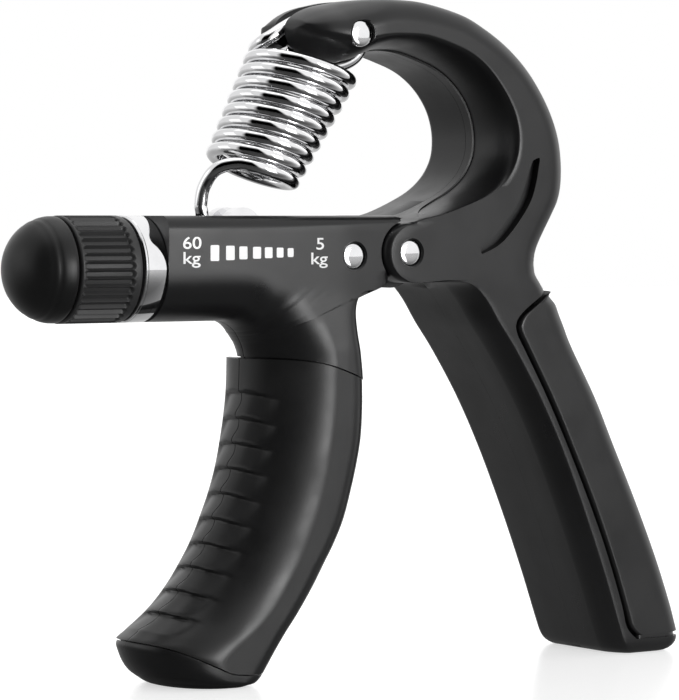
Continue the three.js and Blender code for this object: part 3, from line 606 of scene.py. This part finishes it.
def coil_cup(side):
    """The round hollow under the nose that takes the top of the coil."""
    cup = bar_across((0, 0), CUP_RADIUS, -CUP_LENGTH, CUP_FLOOR[side])
    bmesh.ops.translate(cup, verts=cup.verts, vec=(-SHIFT * MM, 0, 0))
    bmesh.ops.rotate(cup, verts=cup.verts, matrix=Matrix.Rotation(math.radians(90), 3, "X"))
    bmesh.ops.rotate(cup, verts=cup.verts, matrix=Matrix.Rotation(COIL_TILT, 3, "Y"))
    bmesh.ops.translate(cup, verts=cup.verts, vec=placed(COIL_TOP[0], 0, COIL_TOP[1]))
    return cup


def web_crescent(side):
    """The crescent-shaped hollow in the web beside the bore."""
    outline = smooth_rows(CRESCENT_OUTER, 8) + smooth_rows(CRESCENT_INNER, 8)[::-1]
    face = side * FRAME_HALF
    low, high = sorted((face - CRESCENT_DEPTH, face + CRESCENT_DEPTH))
    return slab(outline, low, high)


def frame_shell(side):
    piece = new_piece(f"frame_shell_{SIDES[side]}", loft(frame_sections(side)), BODY)
    return carve(
        piece,
        [
            slab([*smooth_rows(PAD_EDGE, 4), *PAD_BEYOND], -THROUGH, THROUGH),
            web_crescent(side),
            bar_across(PIVOT, TONGUE_RADIUS + TONGUE_GAP, -SLOT_HALF, SLOT_HALF),
            block(*TONGUE_SLOT, SLOT_HALF),
            block(*LOOP_SLOT, LOOP_SLOT_HALF),
            coil_cup(side),
            bore(PIVOT, PIN_HOLE),
            bore(ANCHOR, PIN_HOLE),
            hole_mouth(PIVOT, side * FRAME_HALF, side),
            hole_mouth(ANCHOR, side * NOSE_FACE, side),
        ],
    )


for side, word in SIDES.items():
    stands_for(frame_shell(side), "frame", f"frame_{word}")


# ---------- lever: arm, neck and tongue ----------
ARM_LEFT = -51.6
RING_LEFT = -56.8
ARM_THINNING = 1.3
THINNING_START = -10
SPIGOT_RADIUS = 9.2
SPIGOT_LENGTH = 7.4
CORE_HALF = 11.2
CORE_INSET = 0.3
CORE_OFF_MIDDLE = 0.03
NECK_FULLER = 0.25  # how much nearer to a straight slope the neck's rounding gets, between these z
FULLER_SPAN = (85, 70)
NECK_THICKER = 0.08  # share by which the neck is thicker than the arm, between these z and these x
NECK_TOP_SPAN = (79, 68)
NECK_LEFT_SPAN = (-36, -30)
CHEEK_HOLLOW = 6.65  # radius of the arm's hollow end round the cheek
TONGUE_ROOT = [(PIVOT[0], TONGUE_TOP), (-3.5, TONGUE_TOP), (-4.5, 81), (PIVOT[0], 80.4)]
SCREW_SLOT = (-50.2, -3.5, 79.15, 88.45)  # left, right, bottom and top
NUT_SLOT = (-39.8, -9, 88, 99)
NUT_SLOT_HALF = 4.8
PIN_PASSAGE = 4.0
FLARE_DEPTH = 11.6
ARM_EDGE = (3, 3)
ARM_END = 0.1  # how far above the covers' top line the arm's outside ends
COVER_TOP = [(-30, 66.4), (-22, 66.2), (-15.5, 65.2), (-9.8, 63.4), (-2, 60.2)]
FOOT_TOP = [(-57, 9.8), (-50.2, 8.2), (-41.7, 4.4), (-36.5, 2.6), (-24, 2)]

# outer x, outer z, inner x, inner z, rounding of the inner side
ARM_ROWS = [
    (-51.6, 95.5, -51.6, 74, 10),
    (-46, 95.5, -46, 74, 10),
    (-39, 95.5, -40, 74, 10),
    (-31, 95.5, -35.5, 74, 10),
    (-22, 95.5, -33, 73.9, 10.2),
    (-13, 95.5, -31.4, 73.3, 10.4),
    (-4, 95.5, -30.4, 72.7, 11.6),
    (1, 95.5, -29.9, 72.3, 11.6),
    (4.2, 95.5, -29.6, 72, 12),
    (5.1, 94.8, -29.4, 71.8, 12),
    (5.1, 92, -29.2, 71.6, 12),
    (4.6, 88.4, -29, 71.3, 12.1),
    (2.2, 84.6, -28.8, 71, 12.1),
    (1.8, 82, -28.6, 70.7, 12.1),
    (0.4, 81.3, -28.5, 70.5, 12.1),
    (-2.4, 81, -28.3, 70.2, 12.2),
    (-5, 79.4, -28, 69.6, 12.5),
]
NECK_ROWS = [
    (-6.2, 76.4, -27.6, 68.8, 12.9),
    (-6.1, 72, -27.1, 67, 13.4),
    (-5.4, 67, -26.9, 64.5, 14),
    (-4.9, 62, -26.9, 61, 14.2),
    (-4.8, 57, -26.9, 57, 14.2),
]


def arm_half(x):
    """Half the arm's thickness, which grows a little from the knob towards the hinge."""
    return ARM_HALF - ARM_THINNING * way_along(x, THINNING_START, ARM_LEFT)


def below(line, drop, floor=-20):
    """The region under a line across the grip, lowered by a drop."""
    raised = [(x, z - drop) for x, z in smooth_rows(line, 6)]
    left, right = -90, 30
    return [(left, raised[0][1]), *raised, (right, raised[-1][1]), (right, floor), (left, floor)]


def above(line, drop):
    return below(line, drop, 120)


def lever_loft(side, rows, depth, inset=0, off_middle=0):
    """Half of the lever along its rows; it thins towards the knob, and its neck is thicker and fuller."""
    sections = []
    for row in smooth_rows(rows, 5):
        inner, outer = ends(row)
        width = math.dist(inner, outer)
        full = 1 + NECK_FULLER * way_along(outer[1], *FULLER_SPAN)
        half = shell_half(width, depth, (row[4], FLARE_DEPTH), ARM_EDGE, inset, steps=12, full=full)
        section = across(inner, outer, side, half)
        for point in section:
            x = drawn_x(point)
            neck = way_along(point.z / MM, *NECK_TOP_SPAN) * way_along(x, *NECK_LEFT_SPAN)
            thicker = 1 + NECK_THICKER * neck
            point.y *= arm_half(x) / ARM_HALF * thicker
            point.y += side * off_middle * MM
        sections.append(section)
    return loft(sections)


def tongue_and_core(side):
    """What is joined to a half of the lever: the tongue, the knob's spigot and the core of the grip."""
    near, far = sorted((side * OFF_MIDDLE, side * TONGUE_HALF))
    outline = [(0, 0), (0, SPIGOT_RADIUS), (SPIGOT_LENGTH, SPIGOT_RADIUS), (SPIGOT_LENGTH, 0)]
    spigot = turned(outline, placed(RING_LEFT, 0, AXIS_Z), RIGHTWARDS)
    return [
        slab(TONGUE_ROOT, near, far),
        bar_across(PIVOT, TONGUE_RADIUS, near, far),
        halved(spigot, side),
        lever_loft(side, NECK_ROWS, CORE_HALF, CORE_INSET, CORE_OFF_MIDDLE),
    ]


def lever_shell(side):
    outside = lever_loft(side, ARM_ROWS + NECK_ROWS, ARM_HALF)
    piece = new_piece(f"lever_shell_{SIDES[side]}", outside, BODY)
    carve(piece, [bore(PIVOT, CHEEK_HOLLOW), slab(below(COVER_TOP, -ARM_END), -THROUGH, THROUGH)])
    carve(piece, tongue_and_core(side), "UNION")
    return carve(
        piece,
        [
            block(*SCREW_SLOT, SLOT_HALF),
            block(*NUT_SLOT, NUT_SLOT_HALF),
            bore(BEARING_PIN, PIN_HOLE),
            hole_mouth(BEARING_PIN, side * ARM_HALF, side),
            bore(PIVOT, PIN_PASSAGE),
        ],
    )


for side, word in SIDES.items():
    stands_for(lever_shell(side), "lever", f"lever_{word}")


# ---------- finger grip: two soft covers with dents, and the foot ----------
DENTS = 10
DENT_DEPTH = 1.15
DENT_STEP = 0.14  # share of a dent's height in which it goes in
DENT_FADE = 0.9
DENT_REACH = 10  # points further than this from the inner edge aren't pressed in
ROWS_ABOVE_DENTS = 2
COVER_ROWS = 16  # the covers end after this many rows, past the edge of the foot
GRIP_STEPS = 18
DENT_BOW = 0.25  # share of a dent's height by which it sags at BOW_AT from the middle
BOW_AT = 12
DENT_EDGE = (8.8, 6.2)  # distances from the middle where a dent ends and where it is full
SEAM_WAVE = 0.4
WAVE_SHIFT = 0.2
GRIP_INNER = {FRONT: (15.2, 13), BACK: (10.5, 13)}
GRIP_FULL = {FRONT: 1.25, BACK: 1}
GRIP_EDGE = (4.4, 5.6)
COVER_GAP = 0.25
FOOT_GAP = 0.3
FOOT_INNER = (13.5, 13)
FOOT_ROW = 10  # the row that the foot starts at
COVER_SHARP = 40

# outer x, outer z, inner x, inner z, inset at the sole; ten rows, from the third on, each start a dent
GRIP_ROWS = [
    (-4.4, 70, -28.1, 72, 0),
    (-4.3, 62, -28.1, 65.8, 0),
    (-4.25, 56, -28.3, 59.8, 0),
    (-4.6, 50, -28.9, 54.4, 0),
    (-5.5, 45, -29.8, 49.2, 0),
    (-6.9, 39.5, -30.9, 44.1, 0),
    (-8.9, 33, -32.5, 39, 0),
    (-11.3, 28, -34.6, 33.9, 0),
    (-13.9, 23.7, -36.9, 28.9, 0),
    (-16.9, 18.8, -39.8, 24.2, 0),
    (-20.4, 13.8, -43.2, 19.6, 0),
    (-23.4, 10, -47.4, 15.2, 0),
    (-26, 6.4, -52.4, 11.4, 0),
    (-27.6, 4, -54.6, 9.9, 0),
    (-28.4, 2.8, -55.3, 8.8, 0),
    (-29.2, 1.7, -54.9, 7.3, 0),
    (-30, 0.9, -53.9, 5, 0),
    (-30.8, 0.4, -52.4, 2.9, 0.1),
    (-31.5, 0.2, -50.6, 1.3, 0.5),
    (-32, 0.05, -49.4, 0.35, 1.0),
    (-32.3, 0, -48.8, 0, 1.8),
]


def dent(number, y):
    """How far a finger dent is pressed in: a quick step at its top that fades downwards."""
    place = number - DENT_BOW * (y / BOW_AT) ** 2
    if not 0 <= place < DENTS:
        return 0
    share = place % 1
    step = eased(min(share / DENT_STEP, 1))
    edge = eased(way_along(abs(y), *DENT_EDGE))
    return DENT_DEPTH * step * max(1 - share / DENT_FADE, 0) * edge


def grip_shell(side):
    sections = []
    for count, row in enumerate(smooth_rows(GRIP_ROWS, GRIP_STEPS)[: COVER_ROWS * GRIP_STEPS]):
        inner, outer = ends(row)
        number = count / GRIP_STEPS - ROWS_ABOVE_DENTS
        wave = 0
        if 0 < number < DENTS:
            wave = -side * SEAM_WAVE * math.sin(math.tau * (number - WAVE_SHIFT))
        half = shell_half(
            math.dist(inner, outer),
            GRIP_HALF,
            GRIP_INNER[side],
            GRIP_EDGE,
            inset=row[4],
            wave=wave,
            steps=GRIP_STEPS,
            full=GRIP_FULL[side],
        )
        pressed = [(s + dent(number, y) if s < DENT_REACH else s, y) for s, y in half[:-2]]
        sections.append(across(inner, outer, side, pressed + half[-2:]))
    piece = new_piece(f"grip_cover_{SIDES[side]}", loft(sections), COVER, COVER_SHARP)
    over = slab(above(COVER_TOP, COVER_GAP), -THROUGH, THROUGH)
    under = slab(below(FOOT_TOP, -FOOT_GAP), -THROUGH, THROUGH)
    return carve(piece, [over, under], sharp=COVER_SHARP)


def foot_block():
    sections = []
    for row in smooth_rows(GRIP_ROWS[FOOT_ROW:], 8):
        inner, outer = ends(row)
        sections.append(full_section(inner, outer, GRIP_HALF, FOOT_INNER, GRIP_EDGE, row[4]))
    piece = new_piece("grip_foot_block", loft(sections), BODY)
    return carve(piece, [slab(above(FOOT_TOP, 0), -THROUGH, THROUGH)])


for side, word in SIDES.items():
    stands_for(grip_shell(side), "lever", f"grip_{word}")
stands_for(foot_block(), "lever", "grip_foot")


# ---------- palm pad ----------
# outer x, outer z, inner x, inner z
PAD_ROWS = [
    (42.3, 79.5, 40.9, 78.6),
    (43.3, 79, 39.2, 77.2),
    (44.4, 77.9, 36.8, 75.6),
    (45.6, 76.6, 34.9, 74.3),
    (46.6, 74.3, 33.8, 72.8),
    (47.7, 72, 33.7, 71),
    (50, 67.2, 36.1, 66.7),
    (56.4, 56.2, 42.3, 56),
    (61.4, 46, 47.6, 45.6),
    (67.6, 33.4, 53.6, 33.1),
    (73.4, 20.6, 59, 20.2),
    (77.2, 10.9, 62.6, 10.2),
    (78.7, 6.3, 64, 6.2),
    (79.2, 4.7, 65.6, 4.4),
    (79.3, 4.25, 66.3, 4),
]
PAD_HALF = 13.9
PAD_INNER_EDGE = (1.1, 1.1)
PAD_OUTER_EDGE = (5, 5)
PAD_TONGUE = 1.1  # it reaches this far under the handle, so that no light comes through the groove
PAD_END_DROPS = (0.05, 1.1)  # the pad's narrower lower end
PAD_END_NARROWER = 0.8
PAD_END_EDGE = (4.6, 4.6)


def pad_block():
    sections = []
    for row in smooth_rows(PAD_ROWS, 6):
        inner, outer = ends(row)
        section = full_section(inner, outer, PAD_HALF, PAD_INNER_EDGE, PAD_OUTER_EDGE, tongue=PAD_TONGUE)
        sections.append(section)
    inner, outer = ends(PAD_ROWS[-1])
    end_half = PAD_HALF - PAD_END_NARROWER
    for drop in PAD_END_DROPS:
        low = (inner[0], inner[1] - drop)
        high = (outer[0] - PAD_END_NARROWER / 2, outer[1] - drop)
        section = full_section(low, high, end_half, PAD_INNER_EDGE, PAD_END_EDGE, tongue=PAD_TONGUE)
        sections.append(section)
    return new_piece("palm_pad_block", loft(sections), COVER)


stands_for(pad_block(), "frame", "palm_pad")


# ---------- knob, its cap and the polished ring ----------
KNOB_RADIUS = 10.8
KNOB_RIGHT = -57.3
KNOB_LEFT = -71.2
SLEEVE_BORE = 7.2
SLEEVE_RINGS = 51
RING_STEP = 0.25  # from one ring of the sleeve to the next
FIRST_RING = 0.8
RIB_COUNT = 40
STEPS_PER_RIB = 8
HALF_PITCH = 0.85
GROOVE_DEPTH = 0.75
GROOVE_REACH = (0.82, 0.48)  # from a groove's middle to its edge and to its flat bottom
GROOVE_LEFT = KNOB_LEFT + 1.4  # where the grooves' rounded ends begin
GROOVE_RIGHT = KNOB_RIGHT - 2.5
CAP_SEAT = 8.4
DOME_START = 0.75
DOME_STEPS = 40
DOME_RADIUS = 10.72
DOME_LENGTH = 10.02
DOME_BULGE = 0.97  # 1 would be an ellipse
SHOULDER_LINES = ((9, 0.14), (13, 0.05))  # steps of the dome with a fine groove, and its depth
LINE_REACH = 1.6
COLLAR_BORE = 9.5


def knob_sleeve():
    """Ribbed sleeve: grooves with rounded ends pressed into a spun tube."""
    length = KNOB_RIGHT - KNOB_LEFT
    profile = [(0, SLEEVE_BORE), (0, KNOB_RADIUS - 0.5), (0.12, KNOB_RADIUS - 0.18), (0.4, KNOB_RADIUS)]
    profile += [(FIRST_RING + k * RING_STEP, KNOB_RADIUS) for k in range(SLEEVE_RINGS)]
    profile += [(length - 0.3, KNOB_RADIUS), (length - 0.08, KNOB_RADIUS - 0.15)]
    profile += [(length, KNOB_RADIUS - 0.45), (length, CAP_SEAT)]
    shape = turned(profile, placed(KNOB_RIGHT, 0, AXIS_Z), LEFTWARDS, RIB_COUNT * STEPS_PER_RIB)
    centre_z = AXIS_Z * MM
    for vert in shape.verts:
        x = drawn_x(vert.co)
        arm = Vector((0, vert.co.y, vert.co.z - centre_z))
        if arm.length / MM < KNOB_RADIUS - 0.05:
            continue
        share = (math.atan2(arm.z, arm.y) / math.tau * RIB_COUNT) % 1
        sideways = abs(share - 0.5) * 2 * HALF_PITCH
        past = max(GROOVE_LEFT - x, x - GROOVE_RIGHT, 0)
        pressed = eased(way_along(math.hypot(sideways, past), *GROOVE_REACH))
        arm -= arm.normalized() * GROOVE_DEPTH * MM * pressed
        vert.co.y = arm.y
        vert.co.z = arm.z + centre_z
    return new_piece("knob_sleeve", shape, SLEEVE, sharp=50)


def shoulder_depth(step):
    """How deep the fine grooves round the dome are at one of its steps."""
    return sum(depth * max(1 - abs(step - place) / LINE_REACH, 0) for place, depth in SHOULDER_LINES)


def knob_dome():
    """Domed cap with two fine shoulder lines where it meets the sleeve."""
    profile = [(-2.6, 0), (-2.6, CAP_SEAT), (0.5, CAP_SEAT)]
    profile += [(0.55, 10.3), (0.62, 10.55), (0.8, 10.68), (1.3, 10.66)]
    for step in range(3, DOME_STEPS):
        angle = math.pi / 2 * step / DOME_STEPS
        radius = DOME_RADIUS * math.cos(angle) ** DOME_BULGE - shoulder_depth(step)
        profile.append((DOME_START + DOME_LENGTH * math.sin(angle), radius))
    profile.append((DOME_START + DOME_LENGTH, 0))
    shape = turned(profile, placed(KNOB_LEFT, 0, AXIS_Z), LEFTWARDS, 128)
    return new_piece("knob_dome", shape, KNOB, sharp=40)


def polished_ring():
    """Ring with rounded rims and a fine line near its left one."""
    right = ARM_LEFT - 0.1
    width = right - RING_LEFT
    line = KNOB_RADIUS - 0.08
    profile = [(0, COLLAR_BORE), (0, 10.5), (0.08, 10.7), (0.3, KNOB_RADIUS), (width - 0.75, KNOB_RADIUS)]
    profile += [(width - 0.65, line), (width - 0.5, line), (width - 0.4, KNOB_RADIUS)]
    profile += [(width - 0.2, KNOB_RADIUS), (width - 0.05, 10.65), (width, 10.4)]
    profile += [(width, COLLAR_BORE), (0, COLLAR_BORE)]
    shape = turned(profile, placed(right, 0, AXIS_Z), LEFTWARDS, 160)
    return new_piece("polished_ring", shape, CHROME)


stands_for(knob_sleeve(), "knob", "tension_knob")
stands_for(knob_dome(), "knob", "knob_cap")
stands_for(polished_ring(), "lever", "collar_ring")


# ---------- pins ----------
END_LENGTH = 3.2  # of the thicker ends of a pin
NECK_RADIUS = 2.1


def domed_pin(name, place, half_length):
    """Polished pin with a thinner middle, and a low dome and a rounded rim at both ends."""
    dome = [(0, 0), (0.3, 0.02), (0.6, 0.07), (0.82, 0.15), (0.93, 0.25), (0.98, 0.38), (1, 0.6)]
    dome.append((1, END_LENGTH))
    neck = half_length - END_LENGTH
    profile = [(drop - half_length, share * PIN_RADIUS) for share, drop in dome]
    profile += [(-neck, NECK_RADIUS), (neck, NECK_RADIUS)]
    profile += [(half_length - drop, share * PIN_RADIUS) for share, drop in reversed(dome)]
    shape = turned(profile, placed(place[0], 0, place[1]), BACKWARDS, 64)
    return new_piece(name, shape, CHROME)


stands_for(domed_pin("hinge_pin", PIVOT, 13.6), "frame", "pivot_pin")
stands_for(domed_pin("nose_pin", ANCHOR, 13.1), "frame", "anchor_pin")
stands_for(domed_pin("arm_pin", BEARING_PIN, 12.1), "lever", "bearing_pin")


# ---------- tension spring ----------
WIRE = 2.75
COIL_TURNS = 8
COIL_LEAN = math.radians(29.65)
TURN_TRAVEL = 3.07
TOP_RADIUS = 10.6
BOTTOM_RADIUS = 8.9
TURN_STEPS = 48
FIRST_STEP = -30
LAST_STEP = 390
JOIN_STEPS = 6  # the loop and the hook take their direction from this many steps of the coil
ROUTE_STEPS = 8
UPPER_LOOP = [
    (-17.2, 0, 129.9), (-13.4, 0, 128), (-8.4, 0, 126.6), (-3.4, 0, 126.8), (0.8, 0, 128.8),
    (2.4, 0, 132.4), (0.4, 0, 136), (-3.2, 0, 137.6), (-7.2, 0, 137.9), (-12, 0, 136.7),
    (-16.4, 0, 134.7), (-19.9, -0.3, 132.7), (-21.9, 1.5, 131.1),
]
COIL_TO_BEND = Vector((-4.2, 2.9, -1.1))
HOOK_LIMB = Vector((-37.3, 0, 98))
HOOK_CENTRE = (-29.8, 96.4)
HOOK_WIDTH = 7.3
HOOK_HEIGHT = 6.8
CUT_ROUNDING = 0.25  # of the wire's cut ends


def coil_point(turn):
    radius = TOP_RADIUS + (BOTTOM_RADIUS - TOP_RADIUS) * turn / COIL_TURNS
    out = -math.sin(math.tau * turn) * radius
    travel = turn * TURN_TRAVEL
    return Vector((
        COIL_TOP[0] - travel * math.sin(COIL_LEAN) + out * math.cos(COIL_TILT),
        -math.cos(math.tau * turn) * radius,
        COIL_TOP[1] - travel * math.cos(COIL_LEAN) - out * math.sin(COIL_TILT),
    ))


def spring_route():
    """Centre of the wire: loop round the nose pin, coil, and hook round the nut's pin."""
    coil = [coil_point(step / TURN_STEPS) for step in range(FIRST_STEP, LAST_STEP + 1)]
    bend = coil[-1] + COIL_TO_BEND
    halfway = Vector((HOOK_LIMB.x + 0.3, bend.y / 4, (bend.z + HOOK_LIMB.z) / 2))
    hook = [bend, halfway, HOOK_LIMB]
    for degrees in range(180, 351, 24):
        turn = math.radians(degrees)
        x = HOOK_CENTRE[0] + HOOK_WIDTH * math.cos(turn)
        z = HOOK_CENTRE[1] + HOOK_HEIGHT * math.sin(turn)
        hook.append(Vector((x, 0, z)))
    join = ROUTE_STEPS + 1
    loop = smooth_rows([*UPPER_LOOP, coil[0], coil[JOIN_STEPS]], ROUTE_STEPS)[:-join]
    tail = smooth_rows([coil[-1 - JOIN_STEPS], coil[-1], *hook], ROUTE_STEPS)[join:]
    return loop + coil + tail


def spring_wire():
    route = spring_route()
    line = bpy.data.curves.new("wire_line", "CURVE")
    line.dimensions = "3D"
    line.bevel_depth = WIRE / 2 * MM
    line.bevel_resolution = 7
    line.use_fill_caps = True
    spline = line.splines.new("POLY")
    spline.points.add(len(route) - 1)
    for point, place in zip(spline.points, route):
        point.co = (*placed(*place), 1)
    shape = bmesh.new()
    shape.from_mesh(mesh_of_curve("wire_line", line))
    bmesh.ops.remove_doubles(shape, verts=shape.verts, dist=1e-6)
    rims = [e for e in shape.edges if len(e.link_faces) == 2 and e.calc_face_angle(0) > 1]
    round_edges(shape, rims, CUT_ROUNDING, 3)
    return new_piece("spring_wire", shape, CHROME, sharp=50)


spring = spring_wire()
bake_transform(spring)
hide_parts("tension_spring")


# ---------- scale printed on the arm ----------
FIGURE_HEIGHT = 2.45
FIGURE_SHARE = 0.72  # share of the font's size that a figure is high
BOLDER = 0.012
INK = 0.015
PRINT_LIFT = 0.02
BAR_MIDDLE = 88
BAR_ROUNDING = 0.25
# name, words, left end, base line, widening
SCALE_WORDS = [
    ("scale_high", "60", -48.6, 88.9, 1.32),
    ("scale_high_unit", "kg", -48.6, 85.9, 1.36),
    ("scale_low", "5", -17.3, 88.6, 1.32),
    ("scale_low_unit", "kg", -18.6, 85.6, 1.36),
]
# left end, right end, height
SCALE_BARS = [
    (-42.1, -40.1, 3.2), (-38.5, -36.5, 2.9), (-35.4, -33.5, 2.6), (-32.2, -30.3, 2.4),
    (-29.4, -27.6, 2.2), (-26.6, -25, 2), (-24, -22.6, 1.8),
]


def onto_arm(mesh):
    """Lays a print that stands at y = 0 on the front of the arm."""
    for vert in mesh.vertices:
        vert.co.y -= (arm_half(drawn_x(vert.co)) + PRINT_LIFT) * MM


def printed_words(name, words, left, base, wide):
    text = bpy.data.curves.new(name, "FONT")
    text.body = words
    text.size = FIGURE_HEIGHT / FIGURE_SHARE * MM
    text.offset = BOLDER * FIGURE_HEIGHT * MM
    text.extrude = INK * MM
    mesh = mesh_of_curve(name, text)
    mesh.transform(Matrix.Diagonal((wide, 1, 1, 1)))
    mesh.transform(Matrix.Rotation(math.radians(90), 4, "X"))
    mesh.transform(Matrix.Translation(placed(left, 0, base)))
    onto_arm(mesh)
    mesh.materials.clear()
    mesh.materials.append(PRINT)
    return object_of(name, mesh)


def printed_bar(name, left, right, height):
    shape = bmesh.new()
    bmesh.ops.create_cube(shape, size=1)
    bmesh.ops.scale(shape, verts=shape.verts, vec=((right - left) * MM, 2 * INK * MM, height * MM))
    corners = [e for e in shape.edges if abs(e.verts[0].co.y - e.verts[1].co.y) > 1e-6]
    round_edges(shape, corners, BAR_ROUNDING, 4)
    bmesh.ops.translate(shape, verts=shape.verts, vec=placed((left + right) / 2, 0, BAR_MIDDLE))
    piece = new_piece(name, shape, PRINT)
    onto_arm(piece.data)
    return piece


prints = [printed_words(*row) for row in SCALE_WORDS]
prints += [printed_bar(f"scale_bar_{number}", *row) for number, row in enumerate(SCALE_BARS)]
for mark in prints:
    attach(mark, "lever")


# ---------- CAD nodes that are shown as they are ----------
NODE_FINISH = {
    BODY: ("screw_bearing",),
    CHROME: ("travel_nut",),
    STEEL: ("anchor_bush", "pivot_bush", "lead_screw", "screw_clip", "hook_pin"),
    BRASS: ("thrust_washer",),
}
for material, names in NODE_FINISH.items():
    for node_name in names:
        nodes[node_name].data.materials.clear()
        nodes[node_name].data.materials.append(material)


# ---------- camera, floor and light; sizes are in metres ----------
SENSOR_WIDTH = 36  # this and the lens are in millimetres
LENS = 186.39
CAMERA_PLACE = Vector((-0.41394, -0.61080, 0.09563))
CAMERA_TARGET = Vector((-0.00195, 0, 0.06734))
TOWARDS_CAMERA = (-0.559, -0.829, 0)
FLOOR_HALF = 3
FLOOR_ROUGH = 0.22
FLOOR_WHITE = 0.9
FLOOR_MIRRORED = 0.05  # the same floor's white in polished pieces
FLOOR_GLOW = 0.6
MIRRORED_GLOW = (0.3, 0.02)  # behind the object and on the camera's side
GLOW_CHANGE = (-0.06, 0.05)  # metres towards the camera
SCREEN_LEFT = (-84, -74)  # bearings from the front, in degrees and minus to the left
SCREEN_RIGHT = (-20, -10)
SCREEN_TOP = (0.72, 0.95)  # height of a direction, where straight up is 1
DIM_WALL = 0.8
WALL_FILL = 0.4
LIGHTS_AIM = Vector((0, 0, 0.06))
# name, place, width and height, power
SOFTBOXES = [
    ("key_softbox", (0.28, -1.16, 0.2), (0.5, 0.4), 6.0),
    ("right_softbox", (1.2, -0.1, 0.35), (1.1, 0.7), 1.2),
    ("left_softbox", (-1.15, 0.55, 0.35), (0.8, 0.7), 0.8),
    ("top_softbox", (0, 0.1, 1.2), (1.0, 1.0), 1.9),
]


def build_camera():
    lens = bpy.data.cameras.new("camera")
    lens.sensor_fit = "HORIZONTAL"
    lens.sensor_width = SENSOR_WIDTH
    lens.lens = LENS
    lens.clip_start = 0.05
    lens.clip_end = 20
    camera = object_of("camera", lens)
    camera.location = CAMERA_PLACE
    camera.rotation_euler = (CAMERA_TARGET - CAMERA_PLACE).to_track_quat("-Z", "Y").to_euler()
    scene.camera = camera


def floor_material():
    """White to the camera; in polished pieces grey, and dark on the camera's side of the object."""
    material, tree, shader = new_material("white_sweep")
    shader.inputs["Roughness"].default_value = FLOOR_ROUGH
    shader.inputs["Specular IOR Level"].default_value = 0.5
    toward = tree.nodes.new("ShaderNodeVectorMath")
    toward.operation = "DOT_PRODUCT"
    toward.inputs[1].default_value = TOWARDS_CAMERA
    link(tree, object_place(tree), toward.inputs[0])
    mirrored = between(tree, toward.outputs["Value"], *GLOW_CHANGE, *MIRRORED_GLOW)
    rays = tree.nodes.new("ShaderNodeLightPath").outputs
    glossy = maths(tree, "MULTIPLY", rays["Is Glossy Ray"], mirrored)
    seen = maths(tree, "MULTIPLY", rays["Is Camera Ray"], FLOOR_GLOW)
    through = maths(tree, "MULTIPLY", rays["Is Transmission Ray"], FLOOR_GLOW)
    white = between(tree, rays["Is Glossy Ray"], 0, 1, FLOOR_WHITE, FLOOR_MIRRORED)
    link(tree, white, shader.inputs["Base Color"])
    shader.inputs["Emission Color"].default_value = (1, 1, 1, 1)
    link(tree, largest(tree, glossy, seen, through), shader.inputs["Emission Strength"])
    return material


def build_floor():
    shape = bmesh.new()
    bmesh.ops.create_grid(shape, x_segments=2, y_segments=2, size=FLOOR_HALF)
    floor = object_of("floor", mesh_of("floor", shape))
    floor.data.materials.append(floor_material())


def build_world():
    """White walls, and a black screen behind the camera with a dimmer wall to its left and above it."""
    world = bpy.data.worlds.new("studio")
    world.use_nodes = True
    scene.world = world
    tree = world.node_tree
    background = tree.nodes["Background"]
    direction = tree.nodes.new("ShaderNodeTexCoord")
    axes = tree.nodes.new("ShaderNodeSeparateXYZ")
    link(tree, direction.outputs["Generated"], axes.inputs["Vector"])
    forwards = maths(tree, "MULTIPLY", axes.outputs["Y"], -1)
    bearing = maths(tree, "ARCTAN2", axes.outputs["X"], forwards)
    wall_right = between(tree, bearing, *map(math.radians, SCREEN_RIGHT), 0, 1)
    wall_left = between(tree, bearing, *map(math.radians, SCREEN_LEFT), DIM_WALL, 0)
    wall_above = between(tree, axes.outputs["Z"], *SCREEN_TOP, 0, DIM_WALL)
    walls = largest(tree, wall_right, wall_left, wall_above)
    rays = tree.nodes.new("ShaderNodeLightPath").outputs
    glossy = maths(tree, "MULTIPLY", rays["Is Glossy Ray"], walls)
    diffuse = maths(tree, "MULTIPLY", rays["Is Diffuse Ray"], WALL_FILL)
    strength = largest(tree, rays["Is Camera Ray"], rays["Is Transmission Ray"], glossy, diffuse)
    background.inputs["Color"].default_value = (1, 1, 1, 1)
    link(tree, strength, background.inputs["Strength"])


def build_softbox(name, place, size, power):
    light = bpy.data.lights.new(name, "AREA")
    light.shape = "RECTANGLE"
    light.size = size[0]
    light.size_y = size[1]
    light.energy = power
    lamp = object_of(name, light)
    lamp.location = place
    lamp.rotation_euler = (LIGHTS_AIM - Vector(place)).to_track_quat("-Z", "Z").to_euler()


build_camera()
build_floor()
build_world()
for row in SOFTBOXES:
    build_softbox(*row)
scene.view_settings.view_transform = "Standard"
